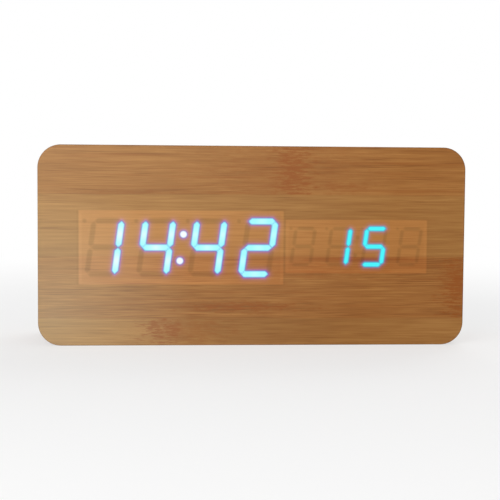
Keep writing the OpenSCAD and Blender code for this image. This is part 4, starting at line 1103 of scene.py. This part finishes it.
low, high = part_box("board_ribbon")
coreRadius = (high.z - low.z) / boardRibbon["cores"] / 2
ribbonSizes = {"Points": boardRibbon["points"], "Bow": boardRibbon["bow"] * mm, "Start X": low.x + coreRadius,
               "Start Y": low.y, "End Y": high.y, "Height": (low.z + high.z) / 2,
               "Material": finishes["pvcRibbonGrey"]}
ribbonPiece = madeByNodes("boardRibbon", bowedRibbon, ribbonSizes)
section = ribbonSection(boardRibbon, coreRadius)
ribbonPiece.data.from_pydata(section, [(i, (i + 1) % len(section)) for i in range(len(section))], [])
applied(ribbonPiece)
smoothBelow(ribbonPiece.data, boardRibbon["sharp"])
finishPiece(ribbonPiece, "case", "grey_insulation", "board_ribbon")


# Battery leads: round sleeved wire on the CAD route, from a contact's tab to the connector. A tab is a place
# in mm, and the bends are offsets from it, with the last of each down where side is 1 and up where it is -1

batteryLeads = {
    "width": 1.4, "sides": 16, "stub": 1.5, "steps": 14, "socketPitch": 2.5, "leadIn": 1.5, "plugged": 3.0,
    "bends": [(-4.4, -2.6, 3.5), (-7.4, -5.6, 10.0)],
    "routes": {"batteryLeadBlack": {"node": "battery_lead_black", "slot": "black_insulation",
                                    "finish": "pvcSleeveBlack", "tab": (1.4, 8.75, 51.5), "side": 1},
               "batteryLeadRed": {"node": "battery_lead_red", "slot": "red_insulation",
                                  "finish": "pvcSleeveRed", "tab": (1.4, 8.75, 18.5), "side": -1}},
}


def leadPath(look, route):
    x, y, z = route["tab"]
    knots = [Vector((x, y, z)), Vector((x - look["stub"], y, z))]
    knots += [Vector((x + bx, y + by, z - route["side"] * bz)) for bx, by, bz in look["bends"]]
    low, high = boxInMm("battery_connector")
    socketZ = (low.z + high.z) / 2 + route["side"] * look["socketPitch"] / 2
    knots += [Vector(((low.x + high.x) / 2, high.y + reach, socketZ))
              for reach in (look["leadIn"], -look["plugged"])]
    path = []      # a smooth curve through the knots
    for i in range(len(knots) - 1):
        a, b = knots[i], knots[i + 1]
        before, after = knots[max(i - 1, 0)], knots[min(i + 2, len(knots) - 1)]
        for k in range(look["steps"]):
            t = k / look["steps"]
            path.append(0.5 * (2 * a + (b - before) * t + (2 * before - 5 * a + 4 * b - after) * t * t
                               + (3 * a - before - 3 * b + after) * t ** 3))
    return path + [knots[-1]]


# the piece's own mesh is the path
def sleevedWire(add, given):
    line = add("MeshToCurve", given["Geometry"])
    ring = add("CurvePrimitiveCircle", {"Resolution": given["Sides"], "Radius": given["Radius"]})
    form = add("CurveToMesh", {"Curve": line, "Profile Curve": ring, "Fill Caps": True})
    return realized(add, form, given["Material"], smooth=True)


for name, route in batteryLeads["routes"].items():
    path = leadPath(batteryLeads, route)
    leadSizes = {"Radius": batteryLeads["width"] / 2 * mm, "Sides": batteryLeads["sides"],
                 "Material": finishes[route["finish"]]}
    leadPiece = madeByNodes(name, sleevedWire, leadSizes)
    leadPiece.data.from_pydata([p * mm for p in path], [(i, i + 1) for i in range(len(path) - 1)], [])
    finishPiece(applied(leadPiece), "case", route["slot"], route["node"])


# AAA cells: printed film shrunk over a drawn can, so the eye sees a glossy jacket with soft wrinkles and a
# printed band and line round it, a bare steel base, and a steel cap in a dark washer

aaaCells = {"length": 44.5, "radius": 5.25, "capRadius": 1.9, "capRise": 0.8, "pitch": 11.0, "sides": 40,
            "sharp": 40, "seed": 3, "jacket": "#2f5f80", "band": "#d9d3c2", "bandAt": (33.5, 40.0),
            "lineAt": (31.5, 32.3), "wrinkle": 3.0, "shade": (0.86, 1.1), "rough": (0.2, 0.36), "bump": 0.1,
            "bumpHeight": 0.05}


def cellJacket(look):
    material, add, shader = startMaterial("printedShrinkFilm")
    along = add("SeparateXYZ", add("UVMap", uv_map="wrap"))
    printed = 0.0
    for start, end in (look["bandAt"], look["lineAt"]):
        middle, half = (start + end) / 2 * mm, (end - start) / 2 * mm
        part = add("Math", along, middle, half, operation="COMPARE")
        printed = add("Math", part, printed, operation="MAXIMUM")
    colour = add("Mix", {0: printed, 6: linear(look["jacket"]), 7: linear(look["band"])}, **colourMix)
    here = add("TexCoord", take="Object")
    wrinkle = add("TexNoise", {"Vector": here, "Scale": 1 / (look["wrinkle"] * mm), "Detail": 3.0})
    # painted shade and light: the wrinkle noise that bumps the film also darkens its colour in the troughs
    # and lightens it on the crests
    shade, rough = (add("MapRange", wrinkle, 0.0, 1.0, *look[reach]) for reach in ("shade", "rough"))
    colour = add("VectorMath", colour, shade, operation="MULTIPLY")
    coat(add, shader, colour, rough, wrinkle, look["bump"], look["bumpHeight"])
    return material


def cellTemplate(look):
    r, cap, top = look["radius"], look["capRadius"], look["length"]
    crown = top - look["capRise"]
    # height along the cell, radius, and what the strip up to the next point is: 0 film, 1 steel, 2 washer
    steps = [(0.1, 0.0, 1), (0.0, 0.6, 1), (0.0, 3.4, 1), (0.25, 3.8, 1), (0.25, 4.3, 0), (0.08, 4.6, 0),
             (0.15, 4.95, 0), (0.5, 5.19, 0), (0.9, r, 0), (crown - 1.0, r, 0), (crown - 0.5, r - 0.08, 0),
             (crown - 0.1, r - 0.4, 0), (crown, r - 0.75, 0), (crown - 0.12, r - 1.05, 2),
             (crown - 0.35, r - 1.15, 2), (crown - 0.35, cap + 0.5, 1), (crown - 0.3, cap + 0.25, 1),
             (crown - 0.05, cap, 1), (top - 0.25, cap, 1), (top - 0.07, cap - 0.12, 1), (top, cap - 0.35, 1),
             (top, 0.0, 1)]
    heights, radii, strips = zip(*steps)
    form = turned(list(zip(radii, heights)), look["sides"], strips)
    form.transform(Matrix.Rotation(math.radians(90), 4, "Y"))
    mesh = meshFrom(form, "cellTemplate")
    mesh.set_sharp_from_angle(angle=math.radians(look["sharp"]))
    return newPiece("cellTemplate", mesh)


def cellsInBay(add, given):
    start = add("CombineXYZ", {1: given["Depth"], 2: given["Top Cell"]})
    down = add("Math", given["Pitch"], -1.0, operation="MULTIPLY")
    step = add("CombineXYZ", {2: down})
    line = add("MeshLine", {"Count": given["Cells"], "Start Location": start, "Offset": step}, mode="OFFSET")
    # every other cell lies the other way round
    odd = add("Math", add("InputIndex"), 2.0, operation="MODULO")
    x = add("MapRange", odd, 0.0, 1.0, given["Left Base"], given["Right Base"])
    aside = add("CombineXYZ", x)
    line = add("SetPosition", {"Geometry": line, "Offset": aside})
    roll = add("RandomValue", {"Max": 2 * math.pi, "Seed": given["Seed"]}, take=1, data_type="FLOAT")
    about = add("Math", odd, math.pi, operation="MULTIPLY")
    turn = add("EulerToRotation", add("CombineXYZ", {0: roll, 2: about}))
    cell = add("ObjectInfo", {"Object": given["Cell"]}, take="Geometry")
    form = add("InstanceOnPoints", {"Points": line, "Instance": cell, "Rotation": turn})
    form = add("RealizeInstances", form)
    strip = add("InputNamedAttribute", {"Name": "strip"}, data_type="INT")
    for k, name in enumerate(("Film", "Steel", "Washer")):
        here = add("Compare", {2: strip, 3: k}, data_type="INT", operation="EQUAL")
        form = add("SetMaterial", {"Geometry": form, "Selection": here, "Material": given[name]})
    return form


cellNodes = ["aaa_cell_%d" % i for i in (1, 2, 3, 4)]
middle = middleOf("aaa_cell_1")
template = cellTemplate(aaaCells)
cellSizes = {"Depth": middle.y, "Top Cell": middle.z, "Pitch": aaaCells["pitch"] * mm,
             "Cells": len(cellNodes), "Left Base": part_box("aaa_cell_1")[0].x,
             "Right Base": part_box("aaa_cell_2")[1].x, "Seed": aaaCells["seed"], "Cell": template,
             "Film": cellJacket(aaaCells), "Steel": finishes["tinPlatedCan"],
             "Washer": finishes["fibreWasher"]}
cellPiece = applied(madeByNodes("aaaCells", cellsInBay, cellSizes))
bpy.data.objects.remove(template)
finishPiece(cellPiece, "case", "cell_can", *cellNodes)
